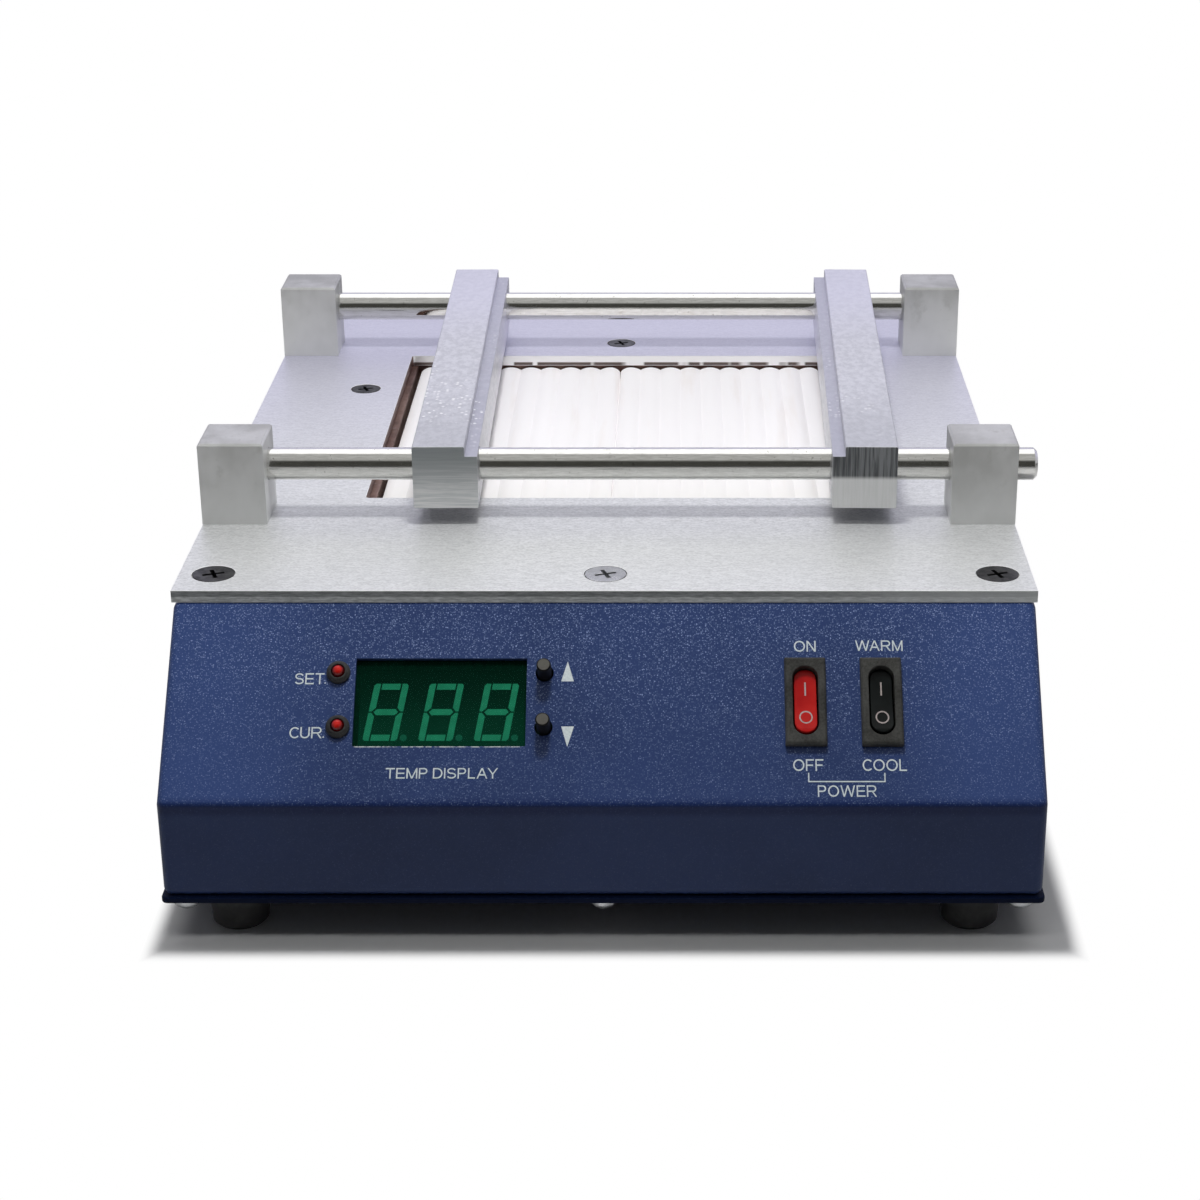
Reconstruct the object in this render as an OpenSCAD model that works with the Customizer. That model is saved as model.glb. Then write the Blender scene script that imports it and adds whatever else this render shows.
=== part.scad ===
// Bench preheater for circuit boards: a folded steel case with a sloped control
// panel, an aluminium plate with a heater window, and two clamp bars on rods.
// Working frame: X = 0 at the plate's middle, Y = 0 at the plate's front edge,
// Z = 0 at the floor. placed() then moves the part to the middle of its box.

/* [Top plate] */
// Width of the top plate
plate_w = 200; // [190:1:230]
// Depth of the top plate
plate_d = 242; // [232:1:280]
// Thickness of the top plate
plate_t = 3; // [2.5:0.1:4]
// Width of the heater window
window_w = 124; // [116:1:130]
// Depth of the heater window
window_d = 121.5; // [112:0.5:124]
// Distance of the window's middle behind the plate's middle
window_back = 1.5; // [0:0.1:3]
// Corner radius of the heater window
window_r = 1; // [0.5:0.1:3]
// Distance of the corner screws from the plate's sides
plate_screw_in_x = 8.2; // [7:0.1:10]
// Distance of the screw rows from the plate's front and rear edges
plate_screw_in_y = 10.5; // [8:0.1:12]
// Head diameter of the plate screws
plate_screw_head_d = 9.7; // [9:0.1:10.5]
// Shank diameter of the plate screws
plate_screw_d = 4.8; // [4:0.1:5]

/* [Case] */
// Height of the case between base plate and top plate
case_h = 57.4; // [54:0.1:70]
// Distance of the case walls inside the plate's edges
case_inset = 0.3; // [0.2:0.1:1.5]
// Sheet thickness of the case
case_t = 1.2; // [1:0.1:1.5]
// Outer bend radius of the case
bend_r = 2; // [1.8:0.1:3]
// Horizontal run of the sloped panel
slope_run = 35.4; // [34:0.1:40]
// Vertical rise of the sloped panel
slope_rise = 34; // [32:0.1:38]
// Width of the case's inner flanges under the plate, at the front and the rear
top_flange = 17; // [16:0.5:18]
// Width of the case's inner flanges over the base plate
base_flange = 8; // [7.5:0.1:8.2]
// Length of an air slot
slot_l = 18; // [12:1:22]
// Width of an air slot
slot_w = 2.6; // [2:0.1:3.5]
// Number of air slots in a row
slot_n = 9; // [5:1:10]

/* [Base and feet] */
// Thickness of the base plate
base_t = 1.5; // [1.2:0.1:3]
// Distance that the base plate stands out round the case
base_lip = 0.5; // [0.4:0.1:2]
// Height of the rubber feet
foot_h = 11; // [8:0.5:16]
// Diameter of a foot at the top
foot_d = 14.5; // [14:0.5:18]
// Diameter of a foot at the floor
foot_low_d = 13; // [12:0.1:14]
// Distance of the foot centres from the base plate's sides
foot_in_x = 15.5; // [15:0.5:25]
// Distance of the foot centres from the base plate's front and rear edges
foot_in_y = 13; // [13:0.5:25]
// Shank diameter of the foot screws
foot_screw_d = 4; // [3.5:0.1:4.5]
// Head diameter of the base screws
base_screw_head_d = 7.4; // [6:0.1:7.5]
// Shank diameter of the base screws
base_screw_d = 3.5; // [3:0.1:4]
// Distance of the base screws from the case walls
base_screw_in = 4.6; // [4.5:0.1:5.5]

/* [Clamp] */
// Side of a square post
post_s = 16; // [15:0.5:18]
// Height of a post
post_h = 20.8; // [20:0.1:24]
// Edge chamfer of posts and bars
edge_c = 0.5; // [0.3:0.1:1]
// Diameter of the rods
rod_d = 8; // [6:0.5:9]
// Height of the rods' axes above the plate
rod_z = 13.05; // [12.6:0.05:14]
// Distance between the two rods
rod_span = 140.5; // [138:0.5:150]
// Distance that the front rod stands out at the right
rod_out = 5.5; // [1:0.5:7]
// Chamfer at the rods' ends
rod_c = 0.8; // [0.3:0.1:1.5]
// Radial clearance of the rods in the posts
rod_clear = 0.05; // [0.02:0.01:0.1]
// Radial clearance of the rods in the clamp bars, which lets a bar stand askew
bar_clear = 0.3; // [0.25:0.01:0.5]
// Turn of the left bar as it stands, in degrees
left_skew = 0.8; // [0:0.1:1]
// Turn of the right bar as it stands, in degrees
right_skew = -1.3; // [-1.3:0.1:0]
// Width of a clamp bar
bar_w = 15.9; // [14:0.1:18]
// Height of a clamp bar
bar_h = 15.9; // [15:0.1:17]
// Distance between the clamp bars and the plate
bar_up = 4.25; // [4:0.05:5]
// Distance that the bars reach past the rear posts
bar_rear_out = 7.5; // [0:0.5:12]
// Width of the board ledge along a bar
ledge_w = 3.1; // [2:0.1:4]
// Depth of the board ledge
ledge_d = 2.5; // [2:0.1:2.6]
// Distance between the middles of the bars' sides as the part stands
bar_gap = 89.6; // [40:0.2:100]
// Distance of that gap's middle to the right of the plate's middle
bar_gap_x = 11.75; // [-15:0.05:15]

/* [Heater] */
// Length of a ceramic element
element_l = 122; // [114:0.5:126]
// Thickness of a ceramic element without its ribs
element_t = 8; // [6:0.5:9]
// Number of ribs on an element
rib_n = 10; // [6:1:14]
// Height of a rib
rib_h = 0.8; // [0.4:0.1:1.2]
// Gap between the window's side and the elements
element_side_gap = 2.8; // [2:0.1:4]
// Gap between the two elements
element_mid_gap = 0.2; // [0.2:0.1:1]
// Depth of the rib tops under the plate
element_drop = 0.6; // [0.3:0.1:2]
// Length of the boss under an element
boss_l = 38; // [30:1:45]
// Width of the boss under an element
boss_w = 14; // [12:0.5:18]
// Height of the boss under an element
boss_h = 16; // [15:0.5:20]
// Sheet thickness of the heater tray
tray_t = 0.8; // [0.6:0.1:1.2]
// Depth of the heater tray under the plate
tray_h = 18.2; // [17:0.1:22]
// Clearance between the elements and the tray's walls
tray_clear = 1.1; // [0.6:0.1:1.8]
// Width of the tray's flanges under the plate
tray_flange = 19; // [18:0.5:20]
// Clearance between the tray's flanges and the case's flanges
tray_room = 3.1; // [1:0.1:4]
// Distance of the tray screws from the tray's walls
tray_screw_out = 11.9; // [10:0.1:13]
// Distance between the two screws on one side of the tray
tray_screw_pitch = 58; // [40:1:80]
// Head diameter of the tray screws
tray_screw_head_d = 8; // [7:0.1:8.5]
// Shank diameter of the tray screws
tray_screw_d = 4; // [3:0.1:4.2]
// Thickness of the insulation pad
pad_t = 5; // [3:0.1:5.3]
// Diameter of the thermocouple probe
probe_d = 2.4; // [1.5:0.1:2.6]
// Length of the thermocouple probe inside the tray
probe_l = 48; // [30:1:60]

/* [Control panel] */
// Distance of the display's middle to the left of the plate's middle
display_x = 37; // [36:0.5:40]
// Width of the display cut-out
display_w = 39; // [38.6:0.1:39.4]
// Height of the display cut-out
display_h = 21.3; // [20.5:0.1:23]
// Depth of the display's face behind the panel
display_sunk = 4.3; // [3.2:0.1:6]
// Distance of the lamps from the cut-out's left edge
lamp_out = 3.9; // [3.8:0.1:4.4]
// Distance of the buttons from the cut-out's right edge
button_out = 4.05; // [3.8:0.05:5]
// Distance between the upper and lower lamp and between the buttons
row_pitch = 13.2; // [11:0.1:15]
// Distance of the two rows' middle above the panel's middle
row_up = 0.5; // [0:0.1:1]
// Diameter of a lamp bezel
bezel_d = 5.4; // [5.3:0.1:6.2]
// Distance of the lower lamp to the right of the upper one
lamp_skew = 0.5; // [0:0.1:0.8]
// Diameter of an indicator lamp
lamp_d = 3; // [2.6:0.1:3.2]
// Diameter of a button stem
button_d = 3.3; // [2.8:0.1:3.5]
// Distance that a button stands out of the panel
button_h = 5.3; // [3:0.1:7]
// Travel of a button
button_travel = 0.5; // [0.2:0.1:0.8]
// Distance of the power switch to the right of the plate's middle
switch_x = 45.85; // [40:0.05:50]
// Distance between the two switches
switch_pitch = 17.25; // [14:0.05:20]
// Distance of the switches below the panel's middle
switch_drop = 0.2; // [0:0.1:1.2]
// Width of a switch bezel
switch_w = 9.4; // [9:0.1:10.5]
// Height of a switch bezel
switch_h = 21.2; // [20.6:0.1:23]
// Thickness of a switch bezel
switch_t = 1.9; // [1.6:0.1:3]
// Length of a switch body behind the panel
switch_body = 17; // [15:0.5:20]
// Tilt of a rocker to each side
rocker_tilt = 8; // [5:0.5:9]

/* [Rear and boards] */
// Width of the mains inlet flange
inlet_w = 48; // [46:0.5:50]
// Height of the mains inlet flange
inlet_h = 22.5; // [22:0.1:26]
// Thickness of the mains inlet flange
inlet_t = 2.1; // [1.5:0.1:3]
// Distance of the inlet's middle from the case's right side, seen from the front
inlet_in = 41.4; // [36:0.1:60]
// Distance between the inlet's screws
inlet_pitch = 40; // [39:0.5:42]
// Thickness of the circuit boards
board_t = 1.6; // [1:0.1:2]
// Width of the power board
power_board_w = 100; // [90:1:110]
// Depth of the power board
power_board_d = 44; // [40:1:46]
// Height of the power board's spacers
spacer_h = 6; // [4:0.5:8]

/* [Hidden] */
$fn = 48;

// Small amount by which a cut runs past a face
eps = 1;
// Play of screws, bosses and bodies in their holes, on the radius or per side
play = 0.2;

// Heights above the floor
case_z = foot_h + base_t;
case_top = case_z + case_h;
plate_top = case_top + plate_t;
rod_axis_z = plate_top + rod_z;

// Length by which a screw runs past its nut, and past sheet that it is tapped into
screw_end = 1;
tapped_end = 4;

// Plan of the case and the base
case_w = plate_w - 2 * case_inset;
case_front = -slope_run;
case_rear = plate_d - case_inset;
base_w = case_w + 2 * base_lip;
base_front = case_front - base_lip;
base_rear = case_rear + base_lip;
base_r = 1.5;
base_screw_head_h = 2.8;
rear_slots_x = 38;
rear_slot_pitch = 6.5;
base_slot_pitch = 12;
// Room for the screw heads in the feet
foot_recess_d = 8.6;
foot_recess_h = foot_h * 0.6;

// Middle of the whole part's box
origin_x = ((plate_w / 2 + rod_out) - base_w / 2) / 2;
origin_y = (base_front + max(case_rear + inlet_t, base_rear, plate_d)) / 2;

// Side outline of the case, in Y and Z, from the front bottom edge
case_profile = [
  [case_front, case_z],
  [case_front, case_top - slope_rise],
  [0, case_top],
  [case_rear, case_top],
  [case_rear, case_z]
];

// Sloped panel: its tilt, its length and the line its fittings are centred on
slope_a = atan2(slope_rise, slope_run);
panel_l = norm([slope_run, slope_rise]);
panel_mid = panel_l / 2;
row_s = [for (side = [-1, 1]) panel_mid - row_up + side * row_pitch / 2];
lamp_x = -display_x - display_w / 2 - lamp_out;
button_x = -display_x + display_w / 2 + button_out;

// Rods, posts and bars
rod_y = [plate_d / 2 - rod_span / 2, plate_d / 2 + rod_span / 2];
rod_l = plate_w;
post_x = plate_w / 2 - post_s / 2;
bar_front = rod_y[0] - post_s / 2;
bar_l = rod_span + post_s + bar_rear_out;
bar_mid_y = bar_front + bar_l / 2;
bar_left_x = bar_gap_x - bar_gap / 2 - bar_w / 2;
bar_right_x = bar_gap_x + bar_gap / 2 + bar_w / 2;
post_screw_d = 4.8;
post_screw_in = 7;
set_screw_d = 4;

// Heater
window_y = plate_d / 2 + window_back;
element_w = (window_w - 2 * element_side_gap - element_mid_gap) / 2;
element_x = (element_w + element_mid_gap) / 2;
element_z = case_top - element_drop - rib_h - element_t;
rib_pitch = element_w / rib_n;
tray_w = 2 * element_w + element_mid_gap + 2 * tray_clear;
tray_d = element_l + 2 * tray_clear;
tray_z = case_top - tray_h;
tray_screw_x = tray_w / 2 + tray_screw_out;
tray_rear_screw_y = window_y + tray_d / 2 + tray_screw_out;
tray_tab_w = 40;
clip_t = 0.8;
clip_edge_x = 8;
clip_edge_y = 7;
probe_up = 0.3;
probe_nut_s = 7;
probe_nut_h = 5;
probe_tail = 6;
probe_z = tray_z + tray_t + pad_t + probe_up + probe_d / 2;

// Control board, parallel to the panel; depths are from the panel's face
module_w = 37.6;
module_h = 19;
module_t = 8;
lens_edge = 1.2;
lens_t = 1.5;
board_top = -(display_sunk + module_t);
board_w = 62;
board_h = 36;
board_x = -display_x + 1;
board_hole_in = 3.5;
key_s = 6;
key_t = 4.3;
key_recess = 1.2;
chip_l = 27;
chip_w = 10;
chip_t = 3.4;
chip_left = 6;
bezel_t = 1.5;
bezel_body_d = 4;
lamp_up = 1;

// Switches: the rocker's room in the housing and its pivot
room_w = 5.8;
room_h = 16.6;
room_depth = 9;
rocker_w = 5.1;
rocker_h = 16.2;
rocker_under = 5;
rocker_edge = 1.4;
rocker_top = switch_t - 0.75;
rocker_dish_r = 50;
rocker_land = 0.8;
dish_half = rocker_h / 2 - rocker_land;
dish_axis = sqrt(rocker_dish_r * rocker_dish_r - dish_half * dish_half);
pivot_z = switch_t - 2;
pivot_d = 1.4;
switch_s = panel_mid + switch_drop;
switch_body_w = switch_w - 1.6;
switch_body_h = switch_h - 1.8;

// Mains inlet on the rear wall, and the power board on the base
inlet_up = 27;
inlet_x = case_w / 2 - inlet_in;
inlet_z = case_z + inlet_up;
inlet_body_w = 27.5;
inlet_body_h = 20;
inlet_body_l = 16;
inlet_room_w = 24.2;
inlet_room_h = 16.4;
inlet_room_l = 15;
inlet_screw_d = 3;
inlet_screw_head_d = 5.6;
pin_w = 4;
pin_t = 2;
pin_tail = 8;
pin_short = 5;
inlet_nut_s = 5.5;
inlet_nut_h = 2.4;
inlet_bevel = 5;
inlet_pin_places = [[-7, -2], [0, 2], [7, -2]];
power_board_x = 10;
power_board_y = 8 + power_board_d / 2;
power_board_z = case_z + spacer_h;
power_board_top = power_board_z + board_t;
power_hole_in = 4;
// Transformer core and the thickness of its winding
core_w = 32;
core_d = 14;
core_h = 27;
core_left = 28;
coil_t = 6;
// Heat sink of the triac
sink_w = 30;
sink_d = 14;
sink_h = 24;
sink_web = 3;
sink_right = 24;
sink_back = 8;
sink_x = power_board_x + sink_right;
sink_y = power_board_y + sink_back;

// Corner points of a rectangle round the origin
function corners(dx, dy) = [for (x = [-1, 1], y = [-1, 1]) [x * dx, y * dy]];
// Convex outline, listed clockwise, moved inwards by a distance
function unit(v) = v / norm(v);
function inset(pts, d) = [
  for (i = [0 : len(pts) - 1])
    let (
      n = len(pts),
      along = unit(pts[i] - pts[(i + n - 1) % n]),
      next = unit(pts[(i + 1) % n] - pts[i]),
      side_a = [along[1], -along[0]],
      side_b = [next[1], -next[0]]
    )
    pts[i] + (side_a + side_b) * d / (1 + side_a * side_b)
];
// Places of the plate screws, the base screws and the feet
plate_screw_rows = [plate_screw_in_y, plate_d - plate_screw_in_y];
plate_screw_x = plate_w / 2 - plate_screw_in_x;
function row_places(xs, ys) = [for (x = xs, y = ys) [x, y]];
corner_screw_places = row_places([-plate_screw_x, plate_screw_x], plate_screw_rows);
middle_screw_places = row_places([0], plate_screw_rows);
post_places = row_places([-post_x, post_x], rod_y);
base_screw_x = case_w / 2 - base_screw_in;
base_screw_places = row_places(
  [-base_screw_x, 0, base_screw_x],
  [case_front + base_screw_in, case_rear - base_screw_in]
);
foot_places = row_places(
  [-base_w / 2 + foot_in_x, base_w / 2 - foot_in_x],
  [base_front + foot_in_y, base_rear - foot_in_y]
);
tray_screw_places = concat(
  row_places(
    [-tray_screw_x, tray_screw_x],
    [window_y - tray_screw_pitch / 2, window_y + tray_screw_pitch / 2]
  ),
  [[0, tray_rear_screw_y]]
);
power_hole_places = [
  for (c = corners(power_board_w / 2 - power_hole_in, power_board_d / 2 - power_hole_in))
    [power_board_x, power_board_y] + c
];
board_hole_places = corners(board_w / 2 - board_hole_in, board_h / 2 - board_hole_in);

// Moves the part so that the middle of its box stands at the origin
module placed() {
  translate([-origin_x, -origin_y, 0]) children();
}
// Repeats a shape at a list of places in plan
module at_places(places, z = 0) {
  for (p = places) translate([p[0], p[1], z]) children();
}
// Puts a shape on the sloped panel: x across, s down the slope, Z out of it
module on_panel(x, s) {
  translate([0, 0, case_top]) rotate([slope_a, 0, 0]) translate([x, -s, 0]) children();
}
// Puts a shape at both lamps on the panel
module at_lamps() {
  for (i = [0, 1]) on_panel(lamp_x + i * lamp_skew, row_s[i]) children();
}
// Puts a shape on the rear wall, with Z out of it and Y up
module on_rear(x, z) {
  translate([x, case_rear, z]) rotate([90, 0, 180]) children();
}
// Box in plan round a point, from a height upwards
module block(w, d, h) {
  translate([-w / 2, -d / 2, 0]) cube([w, d, h]);
}
// Rectangle with round corners
module round_rect(w, d, r) {
  square([w - 2 * r, d], center = true);
  square([w, d - 2 * r], center = true);
  for (c = corners(w / 2 - r, d / 2 - r)) translate(c) circle(r);
}
// Slot with round ends, upright in Y
module stadium(w, h) {
  square([w, h - w], center = true);
  for (side = [-1, 1]) translate([0, side * (h - w) / 2]) circle(d = w);
}
// Countersunk crosshead screw with its head's top at Z = 0
module flat_screw(head_d, shank_d, length) {
  cone_h = (head_d - shank_d) / 2;
  difference() {
    rotate_extrude()
      polygon([
        [0, 0], [head_d / 2, 0], [head_d / 2, -0.3], [shank_d / 2, -0.3 - cone_h],
        [shank_d / 2, -length], [0, -length]
      ]);
    for (turn = [20, 110]) rotate([0, 0, turn])
      translate([-head_d * 0.27, -head_d * 0.05, -cone_h * 0.7])
        cube([head_d * 0.54, head_d * 0.1, cone_h + eps]);
  }
}
// Hole for a countersunk screw
module flat_screw_hole(head_d, shank_d, depth) {
  cone_h = (head_d - shank_d) / 2;
  rotate_extrude()
    polygon([
      [0, eps], [head_d / 2 + play, eps], [head_d / 2 + play, -0.3 - play],
      [shank_d / 2 + play, -0.3 - play - cone_h], [shank_d / 2 + play, -depth], [0, -depth]
    ]);
}
// Pan-head screw, shank up from Z = 0 and head below it
module pan_screw(head_d, head_h, shank_d, length) {
  difference() {
    rotate_extrude()
      polygon([
        [0, -head_h], [head_d * 0.32, -head_h], [head_d * 0.46, -head_h * 0.6],
        [head_d / 2, 0], [shank_d / 2, 0], [shank_d / 2, length], [0, length]
      ]);
    for (turn = [0, 90]) rotate([0, 0, turn])
      translate([-head_d * 0.25, -head_d * 0.06, -head_h - eps])
        cube([head_d * 0.5, head_d * 0.12, head_h * 0.55 + eps]);
  }
}
// Hexagon nut, standing up from Z = 0, with its thread's bore
module nut(flats, bore_d, h) {
  difference() {
    cylinder(d = flats / cos(30), h = h, $fn = 6);
    translate([0, 0, -eps]) cylinder(d = bore_d, h = h + 2 * eps);
  }
}
// Tubular spacer, standing up from Z = 0
module spacer(d, bore_d, h) {
  difference() {
    cylinder(d = d, h = h);
    translate([0, 0, -eps]) cylinder(d = bore_d, h = h + 2 * eps);
  }
}

// Solid form of the case, its faces set in by wall and its edges rounded by r
module case_form(wall, r) {
  hull()
    for (p = inset(case_profile, wall + r), side = [-1, 1])
      translate([side * (case_w / 2 - wall - r), p[0], p[1]]) sphere(r, $fn = 32);
}
// Row of upright air slots round the origin, cut along Z
module slot_row(n, pitch, depth) {
  for (i = [0 : n - 1]) translate([(i - (n - 1) / 2) * pitch, 0, -depth])
    linear_extrude(2 * depth) stadium(slot_w, slot_l);
}
module case_shell() {
  flange_w = tray_w + 2 * (tray_flange + tray_room);
  flange_d = case_rear - 2 * top_flange;
  floor_d = case_rear - case_front - 2 * base_flange;
  color("#2c3b78") difference() {
    case_form(0, bend_r);
    case_form(case_t, bend_r - case_t);
    translate([0, case_rear / 2, case_top - case_t - eps])
      block(flange_w, flange_d, case_t + 2 * eps);
    translate([0, (case_rear + case_front) / 2, case_z - eps])
      block(case_w - 2 * base_flange, floor_d, case_t + 2 * eps);
    on_panel(-display_x, panel_mid) cube([display_w, display_h, 4 * case_t], center = true);
    at_lamps() cylinder(d = bezel_body_d + 2 * play, h = 4 * case_t, center = true);
    for (s = row_s)
      on_panel(button_x, s) cylinder(d = button_d + 4 * play, h = 4 * case_t, center = true);
    for (i = [0, 1]) on_panel(switch_x + i * switch_pitch, switch_s)
      cube([switch_body_w + 2 * play, switch_body_h + 2 * play, 4 * case_t], center = true);
    on_rear(inlet_x, inlet_z) {
      cube([inlet_body_w + 2 * play, inlet_body_h + 2 * play, 4 * case_t], center = true);
      for (side = [-1, 1]) translate([side * inlet_pitch / 2, 0, 0])
        cylinder(d = inlet_screw_d + 2 * play, h = 4 * case_t, center = true);
    }
    for (row = [-1, 1]) on_rear(-rear_slots_x, inlet_z + row * (slot_l / 2 + 2))
      slot_row(slot_n, rear_slot_pitch, 2 * case_t);
    at_places(concat(corner_screw_places, middle_screw_places), case_top)
      cylinder(d = plate_screw_d + 2 * play, h = 4 * case_t, center = true);
    at_places(post_places, case_top)
      cylinder(d = post_screw_d + 2 * play, h = 4 * case_t, center = true);
    at_places(base_screw_places, case_z)
      cylinder(d = base_screw_d + 2 * play, h = 4 * case_t, center = true);
  }
}

module base_plate() {
  color("#2a3870") difference() {
    translate([0, (base_front + base_rear) / 2, foot_h])
      linear_extrude(base_t) round_rect(base_w, base_rear - base_front, base_r);
    at_places(concat(base_screw_places, power_hole_places), foot_h - eps)
      cylinder(d = base_screw_d + 2 * play, h = base_t + 2 * eps);
    at_places(foot_places, foot_h - eps)
      cylinder(d = foot_screw_d + 2 * play, h = base_t + 2 * eps);
    for (row = [-1, 1]) translate([0, window_y + row * (slot_l + 6), foot_h])
      slot_row(slot_n, base_slot_pitch, 2 * base_t);
  }
}

module rubber_feet() {
  round_h = 0.9;
  color("#17181a") at_places(foot_places)
    rotate_extrude()
      polygon([
        [foot_recess_d / 2, 0], [foot_low_d / 2 - round_h, 0], [foot_low_d / 2, round_h],
        [foot_d / 2, foot_h - 0.8], [foot_d / 2 - 0.8, foot_h],
        [foot_screw_d / 2 + play, foot_h], [foot_screw_d / 2 + play, foot_recess_h],
        [foot_recess_d / 2, foot_recess_h]
      ]);
}
module foot_screws() {
  nut_h = 3.2;
  color("#b9bcc0") at_places(foot_places) {
    translate([0, 0, foot_recess_h])
      pan_screw(8, 2.6, foot_screw_d, case_z + nut_h - foot_recess_h);
    translate([0, 0, case_z]) nut(7, foot_screw_d, nut_h);
  }
}
module base_screws() {
  color("#c4c6c8") at_places(base_screw_places, foot_h)
    pan_screw(base_screw_head_d, base_screw_head_h, base_screw_d, base_t + case_t + tapped_end);
}

module top_plate() {
  color("#c9cbd0") difference() {
    translate([-plate_w / 2, 0, case_top]) cube([plate_w, plate_d, plate_t]);
    translate([0, window_y, case_top - eps])
      linear_extrude(plate_t + 2 * eps) round_rect(window_w, window_d, window_r);
    at_places(concat(corner_screw_places, middle_screw_places), plate_top)
      flat_screw_hole(plate_screw_head_d, plate_screw_d, plate_t + eps);
    at_places(tray_screw_places, plate_top)
      flat_screw_hole(tray_screw_head_d, tray_screw_d, plate_t + eps);
    at_places(post_places, case_top - eps)
      cylinder(d = post_screw_d + 2 * play, h = plate_t + 2 * eps);
  }
}
module plate_screws_black() {
  color("#1c1c1e") at_places(corner_screw_places, plate_top)
    flat_screw(plate_screw_head_d, plate_screw_d, plate_t + case_t + tapped_end);
}
module plate_screws_zinc() {
  color("#c2c4c6") at_places(middle_screw_places, plate_top)
    flat_screw(plate_screw_head_d, plate_screw_d, plate_t + case_t + tapped_end);
}
module tray_screws() {
  nut_h = 3;
  color("#26262a") at_places(tray_screw_places) {
    translate([0, 0, plate_top])
      flat_screw(tray_screw_head_d, tray_screw_d, plate_t + tray_t + nut_h + screw_end);
    translate([0, 0, case_top - tray_t - nut_h]) nut(7, tray_screw_d, nut_h);
  }
}

// Square block with chamfered top edges
module chamfered_block(w, d, h, c) {
  intersection() {
    rotate([90, 0, 0]) linear_extrude(d + 2 * eps, center = true) top_chamfer(w, h, c);
    rotate([90, 0, 90]) linear_extrude(w + 2 * eps, center = true) top_chamfer(d, h, c);
  }
}
module top_chamfer(w, h, c) {
  polygon([[-w / 2, 0], [w / 2, 0], [w / 2, h - c], [w / 2 - c, h], [c - w / 2, h], [-w / 2, h - c]]);
}
// Post with the rod's bore, the screw hole from below and the set screw hole
module post(x, y) {
  color("#b4b8bc") translate([x, y, plate_top]) difference() {
    chamfered_block(post_s, post_s, post_h, edge_c);
    translate([0, 0, rod_z]) rotate([0, 90, 0])
      cylinder(r = rod_d / 2 + rod_clear, h = post_s + 2 * eps, center = true);
    translate([0, 0, -eps]) cylinder(d = post_screw_d + play, h = post_screw_in + 1 + eps);
    translate([0, 0, rod_z]) rotate([-90, 0, 0])
      cylinder(d = set_screw_d + play, h = post_s / 2 + eps);
  }
}
module post_front_left() { post(-post_x, rod_y[0]); }
module post_front_right() { post(post_x, rod_y[0]); }
module post_rear_left() { post(-post_x, rod_y[1]); }
module post_rear_right() { post(post_x, rod_y[1]); }
module post_screws() {
  color("#b9bcc0") at_places(post_places, case_top - case_t)
    pan_screw(8.5, 3, post_screw_d, case_t + plate_t + post_screw_in);
}
module rod_set_screws() {
  length = post_s / 2 - rod_d / 2 - 2 * rod_clear - 0.5;
  color("#2a2b2e") at_places(post_places, rod_axis_z)
    rotate([-90, 0, 0]) translate([0, 0, rod_d / 2 + rod_clear]) difference() {
      cylinder(d = set_screw_d, h = length);
      translate([0, 0, length - 1.6]) cylinder(d = 2 / cos(30), h = 1.6 + eps, $fn = 6);
    }
}
// Rod along X with chamfered ends, its middle at x
module rod(x, y) {
  color("#d6d8dc") translate([x, y, rod_axis_z]) rotate([0, 90, 0]) rotate_extrude()
    polygon([
      [0, -rod_l / 2], [rod_d / 2 - rod_c, -rod_l / 2], [rod_d / 2, rod_c - rod_l / 2],
      [rod_d / 2, rod_l / 2 - rod_c], [rod_d / 2 - rod_c, rod_l / 2], [0, rod_l / 2]
    ]);
}
module front_rod() { rod(rod_out, rod_y[0]); }
module rear_rod() { rod(0, rod_y[1]); }

// Clamp bar with its board ledge on the side that facing gives, turned about its middle
module clamp_bar(x, facing, skew) {
  c = edge_c / 2;
  step_x = bar_w / 2 - ledge_w;
  color("#b9bdc2") translate([x, bar_mid_y, 0]) rotate([0, 0, skew]) difference() {
    translate([0, bar_l / 2, plate_top + bar_up]) rotate([90, 0, 0])
      linear_extrude(bar_l) mirror([facing < 0 ? 1 : 0, 0])
        polygon([
          [c - bar_w / 2, 0], [bar_w / 2 - c, 0], [bar_w / 2, c],
          [bar_w / 2, bar_h - ledge_d], [step_x, bar_h - ledge_d], [step_x, bar_h - c],
          [step_x - c, bar_h], [c - bar_w / 2, bar_h], [-bar_w / 2, bar_h - c], [-bar_w / 2, c]
        ]);
    for (y = rod_y) translate([0, y - bar_mid_y, rod_axis_z]) rotate([0, 90, 0])
      cylinder(r = rod_d / 2 + bar_clear, h = bar_w + 2 * eps, center = true);
  }
}
module clamp_bar_left() { clamp_bar(bar_left_x, 1, left_skew); }
module clamp_bar_right() { clamp_bar(bar_right_x, -1, right_skew); }

// Ceramic element: a body with ribs along Y and a boss below
module heater(x) {
  rib_r = (rib_pitch * rib_pitch / 4 + rib_h * rib_h) / (2 * rib_h);
  color("#efece6") translate([x, window_y, element_z]) {
    intersection() {
      rotate([90, 0, 0]) linear_extrude(element_l + 2 * eps, center = true) {
        translate([-element_w / 2, 0]) square([element_w, element_t]);
        for (i = [0 : rib_n - 1])
          translate([(i - (rib_n - 1) / 2) * rib_pitch, element_t + rib_h - rib_r])
            intersection() {
              circle(rib_r);
              translate([-rib_pitch / 2, 0]) square([rib_pitch, rib_r + eps]);
            }
      }
      linear_extrude(element_t + rib_h + eps) round_rect(element_w, element_l, 2.5);
    }
    translate([0, 0, -boss_h]) linear_extrude(boss_h) round_rect(boss_w, boss_l, 3);
  }
}
module heater_left() { heater(-element_x); }
module heater_right() { heater(element_x); }
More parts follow.
